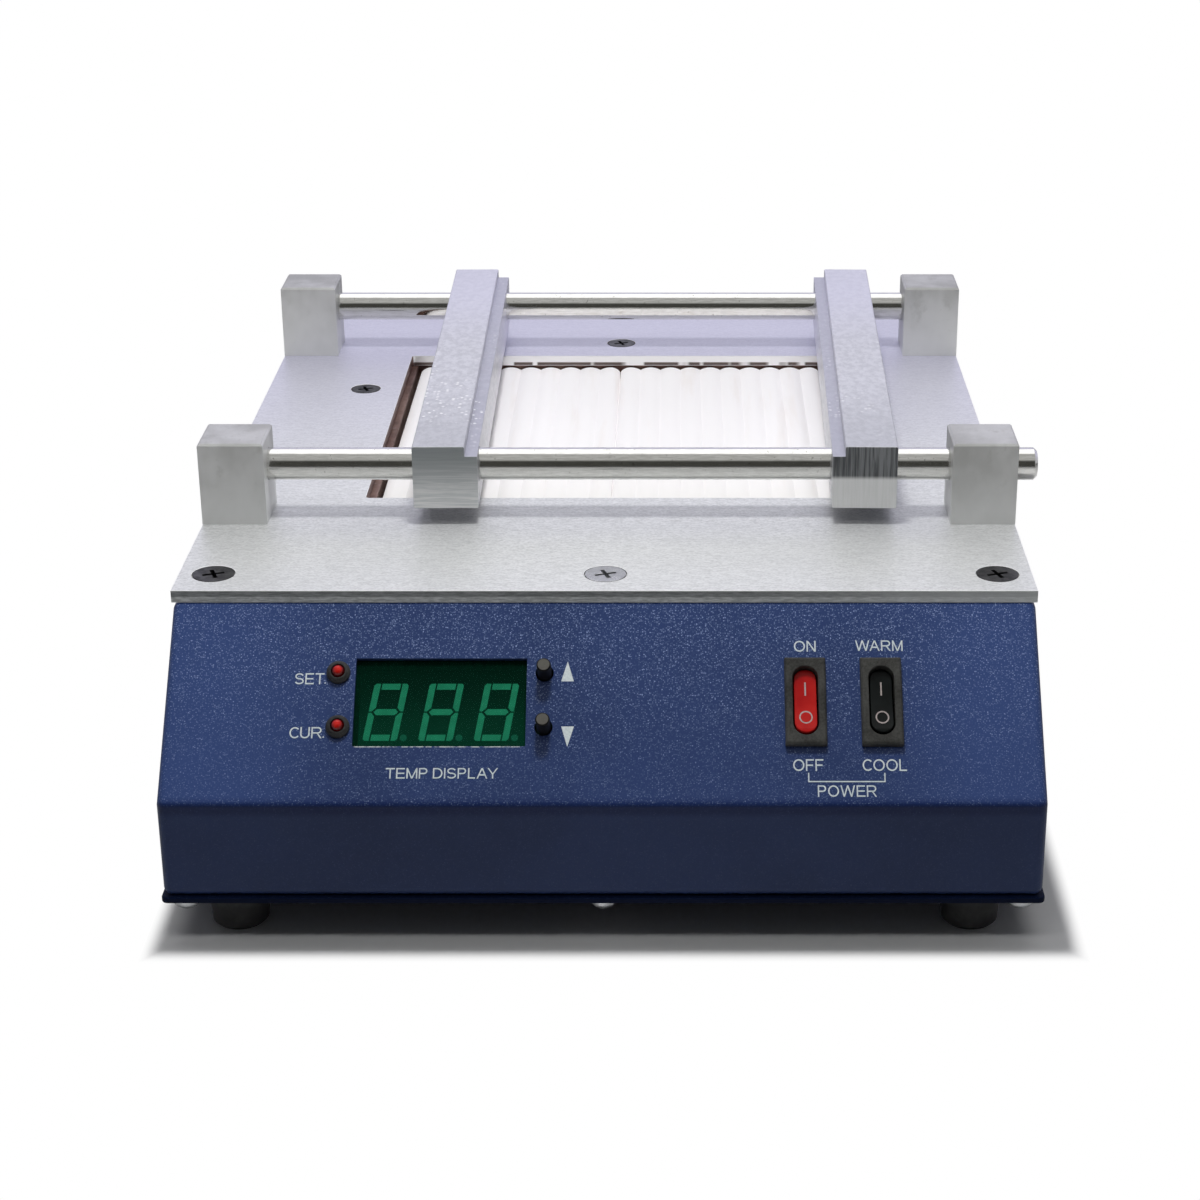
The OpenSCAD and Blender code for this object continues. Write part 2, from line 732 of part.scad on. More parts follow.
// Bowed spring plates round the bosses, under the tray
module heater_clips() {
  color("#a9a49a") for (side = [-1, 1])
    translate([side * element_x, window_y, tray_z - clip_t]) difference() {
      linear_extrude(clip_t) round_rect(boss_w + 2 * clip_edge_x, boss_l + 2 * clip_edge_y, 4);
      translate([0, 0, -eps]) linear_extrude(clip_t + 2 * eps)
        round_rect(boss_w + 2 * play, boss_l + 2 * play, 3);
    }
}
// Folded tray with flanges under the plate and holes for the two bosses
module heater_tray() {
  outer_w = tray_w + 2 * tray_t;
  outer_d = tray_d + 2 * tray_t;
  color("#7d6a58") difference() {
    union() {
      translate([0, window_y, tray_z]) block(outer_w, outer_d, tray_h);
      translate([0, window_y, case_top - tray_t])
        block(tray_w + 2 * tray_flange, outer_d, tray_t);
      translate([0, window_y + tray_d / 2, case_top - tray_t])
        block(tray_tab_w, 2 * tray_flange, tray_t);
    }
    translate([0, window_y, tray_z + tray_t]) block(tray_w, tray_d, tray_h);
    for (side = [-1, 1]) translate([side * element_x, window_y, tray_z - eps])
      linear_extrude(tray_t + 2 * eps) round_rect(boss_w + 4 * play, boss_l + 4 * play, 3);
    at_places(tray_screw_places, case_top - tray_t - eps)
      cylinder(d = tray_screw_d + 2 * play, h = tray_t + 2 * eps);
    translate([0, window_y - tray_d / 2, probe_z]) rotate([90, 0, 0])
      cylinder(d = probe_d + 2 * play, h = 4 * tray_t, center = true);
  }
}
module insulation_pad() {
  color("#e4ddcf") translate([0, window_y, tray_z + tray_t]) difference() {
    linear_extrude(pad_t) square([tray_w - 2 * play, tray_d - 2 * play], center = true);
    for (side = [-1, 1]) translate([side * element_x, 0, -eps])
      linear_extrude(pad_t + 2 * eps) round_rect(boss_w + 4 * play, boss_l + 4 * play, 3);
  }
}
// Probe through the tray's front wall, with its gland nut outside
module thermocouple() {
  wall_y = window_y - tray_d / 2 - tray_t;
  color("#9a9ca0") translate([0, wall_y, probe_z]) rotate([-90, 0, 0]) {
    translate([0, 0, -probe_nut_h - probe_tail])
      cylinder(d = probe_d, h = probe_l + tray_t + probe_nut_h + probe_tail);
    translate([0, 0, -probe_nut_h])
      cylinder(d = probe_nut_s / cos(30), h = probe_nut_h, $fn = 6);
  }
}

// Tinted window behind the panel, resting on its inner face
module display_window() {
  color("#0c3a26") on_panel(-display_x, panel_mid)
    translate([0, 0, -case_t - lens_t])
      block(display_w + 2 * lens_edge, display_h + 2 * lens_edge, lens_t);
}
module display_module() {
  color("#101512") on_panel(-display_x, panel_mid)
    translate([0, 0, board_top]) block(module_w, module_h, module_t);
}
// Lamp holders with a flange on the panel and a split body through it
module led_bezels() {
  color("#1a1a1c") at_lamps()
    rotate_extrude()
      polygon([
        [lamp_d / 2 + play / 2, -3], [bezel_body_d / 2, -3], [bezel_body_d / 2, 0],
        [bezel_d / 2, 0], [bezel_d / 2, bezel_t * 0.5], [bezel_d / 2 - 0.7, bezel_t],
        [lamp_d / 2 + play / 2, bezel_t]
      ]);
}
module indicator_leds() {
  color("#8a1210") at_lamps() {
    translate([0, 0, lamp_up]) intersection() {
      sphere(d = lamp_d);
      translate([0, 0, -eps / 2]) cylinder(d = lamp_d + eps, h = lamp_d);
    }
    translate([0, 0, -3]) cylinder(d = lamp_d, h = 3 + lamp_up);
    translate([0, 0, -4]) cylinder(d = lamp_d + 0.9, h = 1);
    for (side = [-1, 1]) translate([side * 0.9, 0, board_top]) cylinder(d = 0.6, h = -board_top - 4);
  }
}
module control_board() {
  color("#1f6b3c") on_panel(board_x, panel_mid) translate([0, 0, board_top - board_t])
    difference() {
      block(board_w, board_h, board_t);
      at_places(board_hole_places, -eps) cylinder(d = 3 + 2 * play, h = board_t + 2 * eps);
    }
}
module board_spacers() {
  color("#b7a164") on_panel(board_x, panel_mid)
    at_places(board_hole_places, board_top) spacer(5.5, 3, -board_top - case_t);
}
module board_screws() {
  color("#b9bcc0") on_panel(board_x, panel_mid)
    at_places(board_hole_places, board_top - board_t) pan_screw(5.6, 2, 3, board_t + 5);
}
// Key switch bodies under the button stems
module key_switches() {
  color("#2b2b2d") for (s = row_s) on_panel(button_x, s)
    translate([0, 0, board_top]) difference() {
      block(key_s, key_s, key_t);
      translate([0, 0, key_t - key_recess])
        cylinder(d = button_d + 4 * play, h = key_recess + eps);
    }
}
module controller_chip() {
  color("#18181a") on_panel(board_x - chip_left, panel_mid)
    translate([0, 0, board_top - board_t - chip_t]) block(chip_l, chip_w, chip_t);
}
// Button stem: from its key switch, through the panel, to a slightly domed top
module button(s) {
  low = board_top + key_t - key_recess + button_travel + 0.1;
  color("#1d1d1f") on_panel(button_x, s) rotate_extrude()
    polygon([
      [0, low], [button_d / 2, low], [button_d / 2, button_h - 0.3],
      [button_d / 2 - 0.3, button_h], [0, button_h]
    ]);
}
module up_button() { button(row_s[0]); }
module down_button() { button(row_s[1]); }

// Switch housing: bezel on the panel, body through it, room for the rocker
module switch_housing(i) {
  color("#202123") on_panel(switch_x + i * switch_pitch, switch_s) difference() {
    union() {
      chamfered_block(switch_w, switch_h, switch_t, 0.5);
      translate([0, 0, -switch_body]) block(switch_body_w, switch_body_h, switch_body + eps);
    }
    translate([0, 0, -room_depth]) linear_extrude(room_depth + switch_t + eps)
      stadium(room_w, room_h);
    translate([0, 0, pivot_z]) rotate([0, 90, 0])
      cylinder(r = pivot_d / 2 + rod_clear, h = room_w + 1, center = true);
  }
}
module power_switch_housing() { switch_housing(0); }
module heat_switch_housing() { switch_housing(1); }
// Spade terminals out of the back of the switch bodies
module switch_terminals() {
  color("#c8a65a") for (i = [0, 1], y = [-5, 5])
    on_panel(switch_x + i * switch_pitch, switch_s)
      translate([0, y, -switch_body - 7]) block(4.8, 0.8, 7);
}
// Side outline of a rocker, in Y and Z: a dish between two lands, a tapered root
module rocker_side() {
  root_z = pivot_z - rocker_under;
  edge_z = rocker_top - rocker_edge;
  difference() {
    polygon([
      [-rocker_h / 2, rocker_top], [-rocker_h / 2, edge_z], [-rocker_h / 4, root_z],
      [rocker_h / 4, root_z], [rocker_h / 2, edge_z], [rocker_h / 2, rocker_top]
    ]);
    translate([0, rocker_top + dish_axis]) circle(rocker_dish_r, $fn = 96);
  }
}
// Rocker on a pivot pin; as the part stands, its upper end is pressed in
module rocker(i) {
  on_panel(switch_x + i * switch_pitch, switch_s) translate([0, 0, pivot_z])
    rotate([-rocker_tilt, 0, 0]) translate([0, 0, -pivot_z]) {
      intersection() {
        translate([0, 0, pivot_z - rocker_under - eps])
          linear_extrude(rocker_top - pivot_z + rocker_under + 2 * eps)
            stadium(rocker_w, rocker_h);
        rotate([90, 0, 90]) linear_extrude(2 * rocker_w, center = true) rocker_side();
      }
      translate([0, 0, pivot_z]) rotate([0, 90, 0])
        cylinder(d = pivot_d, h = room_w + 0.8, center = true);
    }
}
module power_rocker() { color("#b3181a") rocker(0); }
module heat_rocker() { color("#191b1d") rocker(1); }

// Mains inlet: flange outside, body through the rear wall, hollow for the plug
module mains_inlet() {
  color("#1b1c1e") on_rear(inlet_x, inlet_z) difference() {
    union() {
      linear_extrude(inlet_t) round_rect(inlet_w, inlet_h, 4);
      translate([0, 0, -inlet_body_l]) block(inlet_body_w, inlet_body_h, inlet_body_l + eps);
    }
    translate([0, 0, inlet_t - inlet_room_l]) linear_extrude(inlet_room_l + eps)
      polygon([
        [-inlet_room_w / 2, -inlet_room_h / 2], [inlet_room_w / 2, -inlet_room_h / 2],
        [inlet_room_w / 2, inlet_room_h / 2 - inlet_bevel],
        [inlet_room_w / 2 - inlet_bevel, inlet_room_h / 2],
        [inlet_bevel - inlet_room_w / 2, inlet_room_h / 2],
        [-inlet_room_w / 2, inlet_room_h / 2 - inlet_bevel]
      ]);
    for (side = [-1, 1]) translate([side * inlet_pitch / 2, 0, inlet_t])
      flat_screw_hole(inlet_screw_head_d, inlet_screw_d, inlet_t + eps);
    for (pin = inlet_pin_places) translate([pin[0], pin[1], -inlet_body_l - eps])
      block(pin_w + play, pin_t + play, inlet_body_l);
  }
}
module inlet_pins() {
  color("#c9cbcf") on_rear(inlet_x, inlet_z)
    for (pin = inlet_pin_places) translate([pin[0], pin[1], -inlet_body_l - pin_tail])
      block(pin_w, pin_t, inlet_body_l + pin_tail - pin_short);
}
module inlet_screws() {
  color("#b9bcc0") on_rear(inlet_x, inlet_z)
    for (side = [-1, 1]) translate([side * inlet_pitch / 2, 0, 0]) {
      translate([0, 0, inlet_t])
        flat_screw(inlet_screw_head_d, inlet_screw_d, inlet_t + case_t + inlet_nut_h + screw_end);
      translate([0, 0, -case_t - inlet_nut_h]) nut(inlet_nut_s, inlet_screw_d, inlet_nut_h);
    }
}

module power_board() {
  color("#8a6a34") difference() {
    translate([power_board_x, power_board_y, power_board_z])
      block(power_board_w, power_board_d, board_t);
    at_places(power_hole_places, power_board_z - eps)
      cylinder(d = base_screw_d + 2 * play, h = board_t + 2 * eps);
  }
}
module power_board_spacers() {
  color("#e8e4d8") at_places(power_hole_places, case_z)
    spacer(6.4, base_screw_d + play, spacer_h);
}
module power_board_screws() {
  nut_h = 2.6;
  color("#c4c6c8") at_places(power_hole_places) {
    translate([0, 0, foot_h])
      pan_screw(6, 2, base_screw_d, base_t + spacer_h + board_t + nut_h);
    translate([0, 0, power_board_top]) nut(5.8, base_screw_d, nut_h);
  }
}
// Laminated core with its winding
module transformer() {
  color("#6d6f74") translate([power_board_x - core_left, power_board_y, power_board_top]) {
    difference() {
      block(core_w, core_d, core_h);
      for (side = [-1, 1]) translate([side * core_w * 0.26, 0, core_h * 0.2])
        block(core_w * 0.2, core_d + 2 * eps, core_h * 0.6);
    }
    translate([0, 0, core_h * 0.2 + play]) difference() {
      linear_extrude(core_h * 0.6 - 2 * play) round_rect(core_w * 0.68, core_d + 2 * coil_t, 3);
      translate([0, 0, -eps]) block(core_w * 0.32 + 2 * play, core_d + 2 * play, core_h);
    }
  }
}
// Finned extrusion that carries the triac
module heat_sink() {
  fins = 6;
  color("#3a3c40") translate([sink_x, sink_y, power_board_top])
    linear_extrude(sink_h) {
      translate([-sink_w / 2, -sink_web]) square([sink_w, sink_web]);
      for (i = [0 : fins - 1]) translate([-sink_w / 2 + i * (sink_w - 1.6) / (fins - 1), -eps])
        square([1.6, sink_d - sink_web + eps]);
    }
}
module triac() {
  triac_t = 4.4;
  color("#1a1b1d") translate([sink_x, sink_y - sink_web - triac_t / 2, power_board_top]) {
    translate([0, 0, 5]) block(10, triac_t, 15);
    for (x = [-2.54, 0, 2.54]) translate([x, 0, 0]) block(0.9, 0.6, 5 + eps);
  }
}
// Glass fuse in two clips
module fuse() {
  fuse_l = 20;
  color("#d3d6d2") translate([power_board_x + 6, power_board_y - 13, power_board_top]) {
    for (side = [-1, 1]) translate([side * (fuse_l / 2 - 3), 0, 0]) block(5, 6.4, 3.2);
    translate([0, 0, 5.4]) rotate([0, 90, 0]) cylinder(d = 5.2, h = fuse_l, center = true);
  }
}
module terminal_block() {
  poles = 4;
  pole_w = 5.6;
  color("#2e6e46") translate([power_board_x - 4, power_board_y + 14, power_board_top]) difference() {
    block(poles * pole_w, 9, 11);
    for (i = [0 : poles - 1]) translate([(i - (poles - 1) / 2) * pole_w, 0, 4])
      cylinder(d = 3.6, h = 8);
  }
}

placed() case_shell();
placed() base_plate();
placed() rubber_feet();
placed() foot_screws();
placed() base_screws();
placed() top_plate();
placed() plate_screws_black();
placed() plate_screws_zinc();
placed() tray_screws();
placed() post_front_left();
placed() post_front_right();
placed() post_rear_left();
placed() post_rear_right();
placed() post_screws();
placed() rod_set_screws();
placed() front_rod();
placed() rear_rod();
placed() clamp_bar_left();
placed() clamp_bar_right();
placed() heater_left();
placed() heater_right();
placed() heater_clips();
placed() heater_tray();
placed() insulation_pad();
placed() thermocouple();
placed() display_window();
placed() display_module();
placed() led_bezels();
placed() indicator_leds();
placed() control_board();
placed() board_spacers();
placed() board_screws();
placed() key_switches();
placed() controller_chip();
placed() up_button();
placed() down_button();
placed() power_switch_housing();
placed() heat_switch_housing();
placed() switch_terminals();
placed() power_rocker();
placed() heat_rocker();
placed() mains_inlet();
placed() inlet_pins();
placed() inlet_screws();
placed() power_board();
placed() power_board_spacers();
placed() power_board_screws();
placed() transformer();
placed() heat_sink();
placed() triac();
placed() fuse();
placed() terminal_block();
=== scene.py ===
"""Looks of a bench preheater for circuit boards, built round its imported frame."""

import math

import bmesh
import bpy
from mathutils import Matrix, Vector
from mathutils.bvhtree import BVHTree


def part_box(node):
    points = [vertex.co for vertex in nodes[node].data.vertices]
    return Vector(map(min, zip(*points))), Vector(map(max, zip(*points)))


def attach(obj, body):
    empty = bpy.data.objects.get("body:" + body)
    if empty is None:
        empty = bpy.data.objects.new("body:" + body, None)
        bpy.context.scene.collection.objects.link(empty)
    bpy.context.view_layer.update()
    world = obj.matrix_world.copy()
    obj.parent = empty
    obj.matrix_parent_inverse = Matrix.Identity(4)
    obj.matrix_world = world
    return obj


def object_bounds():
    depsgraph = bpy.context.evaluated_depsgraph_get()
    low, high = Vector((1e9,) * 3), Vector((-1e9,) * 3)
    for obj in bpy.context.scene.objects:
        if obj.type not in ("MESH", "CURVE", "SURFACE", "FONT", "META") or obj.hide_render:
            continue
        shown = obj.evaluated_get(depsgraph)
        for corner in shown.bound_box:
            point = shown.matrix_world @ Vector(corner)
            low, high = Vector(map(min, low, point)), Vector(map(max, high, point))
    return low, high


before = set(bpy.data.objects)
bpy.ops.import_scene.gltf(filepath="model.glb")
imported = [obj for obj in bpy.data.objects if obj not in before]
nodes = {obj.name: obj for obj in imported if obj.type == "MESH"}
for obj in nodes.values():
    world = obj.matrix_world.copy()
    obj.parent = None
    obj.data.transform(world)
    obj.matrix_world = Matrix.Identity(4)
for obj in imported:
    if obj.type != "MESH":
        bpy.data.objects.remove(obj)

MM = 0.001
cad_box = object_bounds()

# Sloped panel: its plane comes from the top plate's front edge and the case
PLATE_LOW, PLATE_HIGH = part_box("top_plate")
CASE_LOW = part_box("case_shell")[0]
MIDDLE_X = (PLATE_LOW.x + PLATE_HIGH.x) / 2
PANEL_TOP = Vector((MIDDLE_X, PLATE_LOW.y, PLATE_LOW.z))
PANEL_RUN = PLATE_LOW.y - CASE_LOW.y
PANEL_RISE = 34 * MM
SLOPE = math.atan2(PANEL_RISE, PANEL_RUN)
PANEL_OUT = Vector((0, -math.sin(SLOPE), math.cos(SLOPE)))
# Middle of the switches, down the slope
SWITCH_S = 24.74 * MM

# Printed marks stand this far off what they are printed on
INK_LIFT = 0.012 * MM
INK_THICK = 0.02 * MM


def on_panel(x, s, lift=0.0):
    """Matrix of a place on the panel: x right of the middle, s down the slope, lift out of it."""
    turn = Matrix.Rotation(SLOPE, 4, "X")
    return Matrix.Translation(PANEL_TOP) @ turn @ Matrix.Translation((x, -s, lift))


# Materials


class NodeTree:
    """A node tree under construction, of a material or of the world."""

    def __init__(self, tree):
        self.tree = tree

    def node(self, kind, **settings):
        made = self.tree.nodes.new(kind)
        for key, value in settings.items():
            setattr(made, key, value)
        return made

    def put(self, socket, value):
        """Links a socket or sets a plain value."""
        if isinstance(value, bpy.types.NodeSocket):
            self.tree.links.new(value, socket)
        else:
            socket.default_value = value

    def math(self, operation, a, b=0.0):
        made = self.node("ShaderNodeMath", operation=operation)
        self.put(made.inputs[0], a)
        self.put(made.inputs[1], b)
        return made.outputs["Value"]

    def dot(self, vector, direction):
        """Part of a vector along a direction."""
        made = self.node("ShaderNodeVectorMath", operation="DOT_PRODUCT")
        self.put(made.inputs[0], vector)
        made.inputs[1].default_value = direction
        return made.outputs["Value"]

    def span(self, value, low, high, to_low=0.0, to_high=1.0):
        """Value mapped from one span to another, and held at its ends."""
        made = self.node("ShaderNodeMapRange", interpolation_type="SMOOTHSTEP")
        self.put(made.inputs["Value"], value)
        ends = {"From Min": low, "From Max": high, "To Min": to_low, "To Max": to_high}
        for name, number in ends.items():
            made.inputs[name].default_value = number
        return made.outputs["Result"]

    def mix(self, share, a, b):
        made = self.node("ShaderNodeMix", data_type="RGBA")
        self.put(made.inputs["Factor"], share)
        for socket, value in ((made.inputs[6], a), (made.inputs[7], b)):
            self.put(socket, (*value, 1) if isinstance(value, tuple) else value)
        return made.outputs[2]


class Finish(NodeTree):
    """A material under construction: its shader and the CAD frame's coordinates."""

    def __init__(self, name, color, roughness, metallic=0.0):
        self.material = bpy.data.materials.new(name)
        self.material.use_nodes = True
        super().__init__(self.material.node_tree)
        self.shader = self.tree.nodes["Principled BSDF"]
        self.place = self.node("ShaderNodeTexCoord").outputs["Object"]
        self.set("Base Color", (*color, 1))
        self.set("Roughness", roughness)
        self.set("Metallic", metallic)

    def set(self, name, value):
        self.put(self.shader.inputs[name], value)

    def stretched(self, scale):
        """Coordinates in metres times a scale for each axis."""
        mapping = self.node("ShaderNodeMapping")
        self.put(mapping.inputs["Vector"], self.place)
        mapping.inputs["Scale"].default_value = scale
        return mapping.outputs["Vector"]

    def noise(self, scale, detail=2.0, rough=0.5, bend=0.0):
        made = self.node("ShaderNodeTexNoise")
        self.put(made.inputs["Vector"], self.stretched(scale))
        made.inputs["Scale"].default_value = 1
        made.inputs["Detail"].default_value = detail
        made.inputs["Roughness"].default_value = rough
        made.inputs["Distortion"].default_value = bend
        return made.outputs["Fac"]

    def cells(self, scale):
        """Distance from the cell's middle, and a random value for each cell."""
        made = self.node("ShaderNodeTexVoronoi")
        self.put(made.inputs["Vector"], self.stretched(scale))
        made.inputs["Scale"].default_value = 1
        split = self.node("ShaderNodeSeparateColor")
        self.put(split.inputs["Color"], made.outputs["Color"])
        return made.outputs["Distance"], split.outputs["Red"]

    def axis(self, letter):
        split = self.node("ShaderNodeSeparateXYZ")
        self.put(split.inputs["Vector"], self.place)
        return split.outputs[letter]

    def middle(self, letter, center):
        """Distance from a middle along one axis, with its sign."""
        return self.math("SUBTRACT", self.axis(letter), center)

    def slope_place(self):
        """Distance down the sloped panel from its top."""
        way = Vector((0, -math.cos(SLOPE), -math.sin(SLOPE)))
        return self.math("SUBTRACT", self.dot(self.place, way), PANEL_TOP.dot(way))

    def facing(self, letter):
        """Part of the surface normal along one axis."""
        split = self.node("ShaderNodeSeparateXYZ")
        self.put(split.inputs["Vector"], self.node("ShaderNodeNewGeometry").outputs["Normal"])
        return split.outputs[letter]

    def along(self, direction):
        """Part of the surface normal along a given direction."""
        return self.dot(self.node("ShaderNodeNewGeometry").outputs["Normal"], direction)

    def bump(self, height, strength, depth, under=None):
        made = self.node("ShaderNodeBump")
        made.inputs["Strength"].default_value = strength
        made.inputs["Distance"].default_value = depth
        self.put(made.inputs["Height"], height)
        if under is not None:
            self.put(made.inputs["Normal"], under)
        return made.outputs["Normal"]


# Size of a flake's cell, and the span down the slope over which the flakes' painted glints weaken
FLAKE_CELL = MM / 2.9
FLAKE_GLINT_FADE = (8 * MM, 44 * MM)
# Distances from the panel's middle between which a painted sheen makes its upward faces paler
PANEL_SHEEN = (50 * MM, 90 * MM)
# The painted shade along the bend: its middle below the panel, half its height and half its core's
BEND_DROP = 1 * MM
BEND_SHADE = 2.6 * MM
BEND_CORE = 0.6 * MM
# The display's opening: its middle across the panel, half its width and its lower edge down the slope
OPENING_X = -37 * MM
OPENING_HALF = 19.5 * MM
OPENING_LOW = 35.19 * MM
# Chipped paint under it: where the bare metal starts and stops down the slope, and how it fades sideways
CHIP_START = (OPENING_LOW - 0.12 * MM, OPENING_LOW + 0.02 * MM)
CHIP_STOP = (OPENING_LOW + 0.22 * MM, OPENING_LOW + 0.34 * MM)
CHIP_FADE = 1 * MM


def powder_coat(name, color, flake, gloss):
    """Blue powder coat: orange-peel skin and fine flakes with a few bright ones, chipped under the display.
    Painted light: the flakes' glints on faces that look up and toward the top of the slope, a paler sheen
    toward the panel's sides, shade along the bend and darker faces that don't look up.
    """
    made = Finish(name, color, 0.40)
    made.set("Specular IOR Level", gloss)
    cloud = made.span(made.noise((24, 24, 24), 3), 0.3, 0.7)
    shade = made.mix(cloud, tuple(c * 0.86 for c in color), tuple(c * 1.07 for c in color))
    # Painted sheen: faces that look up grow paler toward the panel's sides
    side_sheen = made.math("ABSOLUTE", made.middle("X", MIDDLE_X))
    side_sheen = made.span(side_sheen, *PANEL_SHEEN, 0.0, 0.42)
    side_sheen = made.math("MULTIPLY", side_sheen, made.span(made.facing("Z"), 0.3, 0.6))
    shade = made.mix(side_sheen, shade, tuple(c * 2.0 for c in color))
    down = made.slope_place()
    bend = made.math("ABSOLUTE", made.middle("Z", PANEL_TOP.z - PANEL_RISE - BEND_DROP))
    distance, chance = made.cells((1 / FLAKE_CELL,) * 3)
    dot = made.span(distance, 0.20, 0.60, 1.0, 0.0)
    common = made.math("MULTIPLY", made.span(chance, 0.30, 0.95, 0.0, 0.48), dot)
    bright = made.math("MULTIPLY", made.span(chance, 0.92, 0.98, 0.0, 0.90), dot)
    # Painted glints: the flakes show on faces that look up, more toward the top of the slope
    lit = made.span(made.facing("Z"), 0.15, 0.60, 0.12, 1.0)
    lit = made.math("MULTIPLY", lit, made.span(down, *FLAKE_GLINT_FADE, 1.30, 0.60))
    share = made.math("MULTIPLY", made.math("MAXIMUM", common, bright), lit)
    # Painted shade along the bend, on faces that look to the front
    ahead = made.span(made.facing("Y"), -0.60, -0.40, 1.0, 0.0)
    bend = made.math("MULTIPLY", made.span(bend, BEND_CORE, BEND_SHADE, 0.65, 0.0), ahead)
    shade = made.mix(bend, shade, (0.1 * color[0], 0.25 * color[1], 0.55 * color[2]))
    # Painted shade: faces that don't look up are darkened
    dim = made.span(made.facing("Z"), 0.05, 0.40, 0.35, 0.0)
    coat = made.mix(share, made.mix(dim, shade, (0.0, 0.0, 0.0)), flake)
    across = made.math("ABSOLUTE", made.middle("X", MIDDLE_X + OPENING_X))
    chip = made.span(across, OPENING_HALF - CHIP_FADE, OPENING_HALF, 1.0, 0.0)
    chip = made.math("MULTIPLY", chip, made.span(down, *CHIP_START))
    chip = made.math("MULTIPLY", chip, made.span(down, *CHIP_STOP, 1.0, 0.0))
    chip = made.math("MULTIPLY", chip, made.span(made.noise((700, 700, 700), 3, 0.7), 0.40, 0.58))
    made.set("Base Color", made.mix(chip, coat, (0.50, 0.52, 0.53)))
    made.set("Roughness", made.span(share, 0, 0.5, 0.42, 0.30))
    peel = made.bump(made.noise((900, 900, 900), 2), 0.14, 0.12 * MM)
    made.set("Normal", made.bump(chance, 0.06, 0.06 * MM, peel))
    return made.material


# Heights on the plate's edges, from its underside: the band of painted shade of the gap under the plate,
# brown as the tray, in the window, and the shear line
UNDER_PLATE_SHADE = (0.9 * MM, 1.2 * MM)
SHEAR_LINE = (1.35 * MM, 1.6 * MM)
# Where the plate takes on a painted lavender reflection, where its edge gets paler, and how far the window
# is from its rim
PLATE_LAVENDER_REFLECTION = (PLATE_LOW.y + 40 * MM, PLATE_HIGH.y - 20 * MM)
EDGE_PALER = (20 * MM, 95 * MM)
WINDOW_RIM = (20 * MM, 22 * MM)


def plate_metal():
    """Rolled aluminium sheet: short dashes along X, a painted lavender reflection to the rear, a painted
    white highlight on its rounded rim, a dull sheared edge, and a window edge that is browned at the sides
    and painted white as highlight behind, with brown dashes of painted shade, of the gap under the plate,
    along its foot."""
    made = Finish("plate_metal", (0.68, 0.69, 0.70), 0.42, 0.50)
    streak = made.noise((520, 2200, 2200), 3, 0.65)
    speck = made.noise((1500, 3000, 3000), 2, 0.6)
    cloud = made.noise((22, 30, 30), 3)
    grain = made.math("ADD", made.math("MULTIPLY", streak, 0.5), made.math("MULTIPLY", speck, 0.5))
    sheet = made.mix(made.span(grain, 0.36, 0.64), (0.61, 0.62, 0.62), (0.87, 0.88, 0.88))
    sheet = made.mix(made.span(cloud, 0.35, 0.75, 0.0, 0.20), sheet, (0.60, 0.61, 0.62))
    # Painted reflection: lavender toward the rear
    lavender_reflection = made.span(made.axis("Y"), *PLATE_LAVENDER_REFLECTION, 0.0, 0.70)
    sheet = made.mix(lavender_reflection, sheet, (0.67, 0.655, 0.85))
    level = made.math("ABSOLUTE", made.facing("Z"))
    side = made.span(level, 0.30, 0.55, 1.0, 0.0)
    height = made.middle("Z", PLATE_LOW.z)
    upper = made.span(height, *SHEAR_LINE)
    torn = made.noise((420, 420, 2600), 3, 0.65)
    lower_band = made.mix(made.span(torn, 0.35, 0.7), (0.31, 0.32, 0.315), (0.56, 0.575, 0.57))
    upper_band = made.mix(made.span(torn, 0.3, 0.7), (0.15, 0.16, 0.16), (0.28, 0.29, 0.29))
    sheared = made.mix(upper, lower_band, upper_band)
    right = made.span(made.middle("X", MIDDLE_X), *EDGE_PALER, 0.0, 0.5)
    sheared = made.mix(right, sheared, (0.62, 0.64, 0.63))
    outward = made.math("ABSOLUTE", made.middle("X", MIDDLE_X))
    rim = made.math("SUBTRACT", (PLATE_HIGH.x - PLATE_LOW.x) / 2, outward)
    front = made.math("SUBTRACT", made.axis("Y"), PLATE_LOW.y)
    rear = made.math("SUBTRACT", PLATE_HIGH.y, made.axis("Y"))
    rim = made.math("MINIMUM", rim, made.math("MINIMUM", front, rear))
    inside = made.span(rim, *WINDOW_RIM)
    across = made.span(made.math("ABSOLUTE", made.facing("X")), 0.5, 0.8)
    # Window wall: a painted white highlight, with brown dashes of painted shade of the gap under the plate
    # along its foot; its sides are heat-tinted brown
    under_plate_shade = made.span(height, *UNDER_PLATE_SHADE, 1.0, 0.0)
    under_plate_shade = made.math("MULTIPLY", under_plate_shade, made.span(made.noise((150, 1, 1), 2), 0.40, 0.48))
    window = made.mix(under_plate_shade, (1.0, 1.0, 1.0), (0.13, 0.10, 0.09))
    window = made.mix(across, window, (0.17, 0.10, 0.085))
    sheared = made.mix(inside, sheared, window)
    # Painted highlight: the rounded rim is white
    rounded = made.math("MULTIPLY", made.span(level, 0.30, 0.50), made.span(level, 0.90, 0.98, 1.0, 0.0))
    made.set("Base Color", made.mix(rounded, made.mix(side, sheet, sheared), (1.0, 1.0, 1.0)))
    made.set("Roughness", made.span(grain, 0.25, 0.75, 0.50, 0.34))
    made.set("Normal", made.bump(grain, 0.20, 0.06 * MM))
    return made.material


# On a bar: where its painted glints fade (from both ends), where its front is darker (from the front end),
# where it takes on a painted lavender reflection (from the rear end), its ledge (from the top), and the two
# tones of a sawn end and the margin of its painted shade (from the underside)
BAR_GLINT_FADE = (20 * MM, 30 * MM)
BAR_DARKER = (4 * MM, 60 * MM)
BAR_LAVENDER_REFLECTION = (90 * MM, 20 * MM)
BAR_LEDGE = (1.9 * MM, 1.4 * MM)
SAWN_TONES = (7.2 * MM, 8.6 * MM)
SAWN_MARGIN = 1 * MM


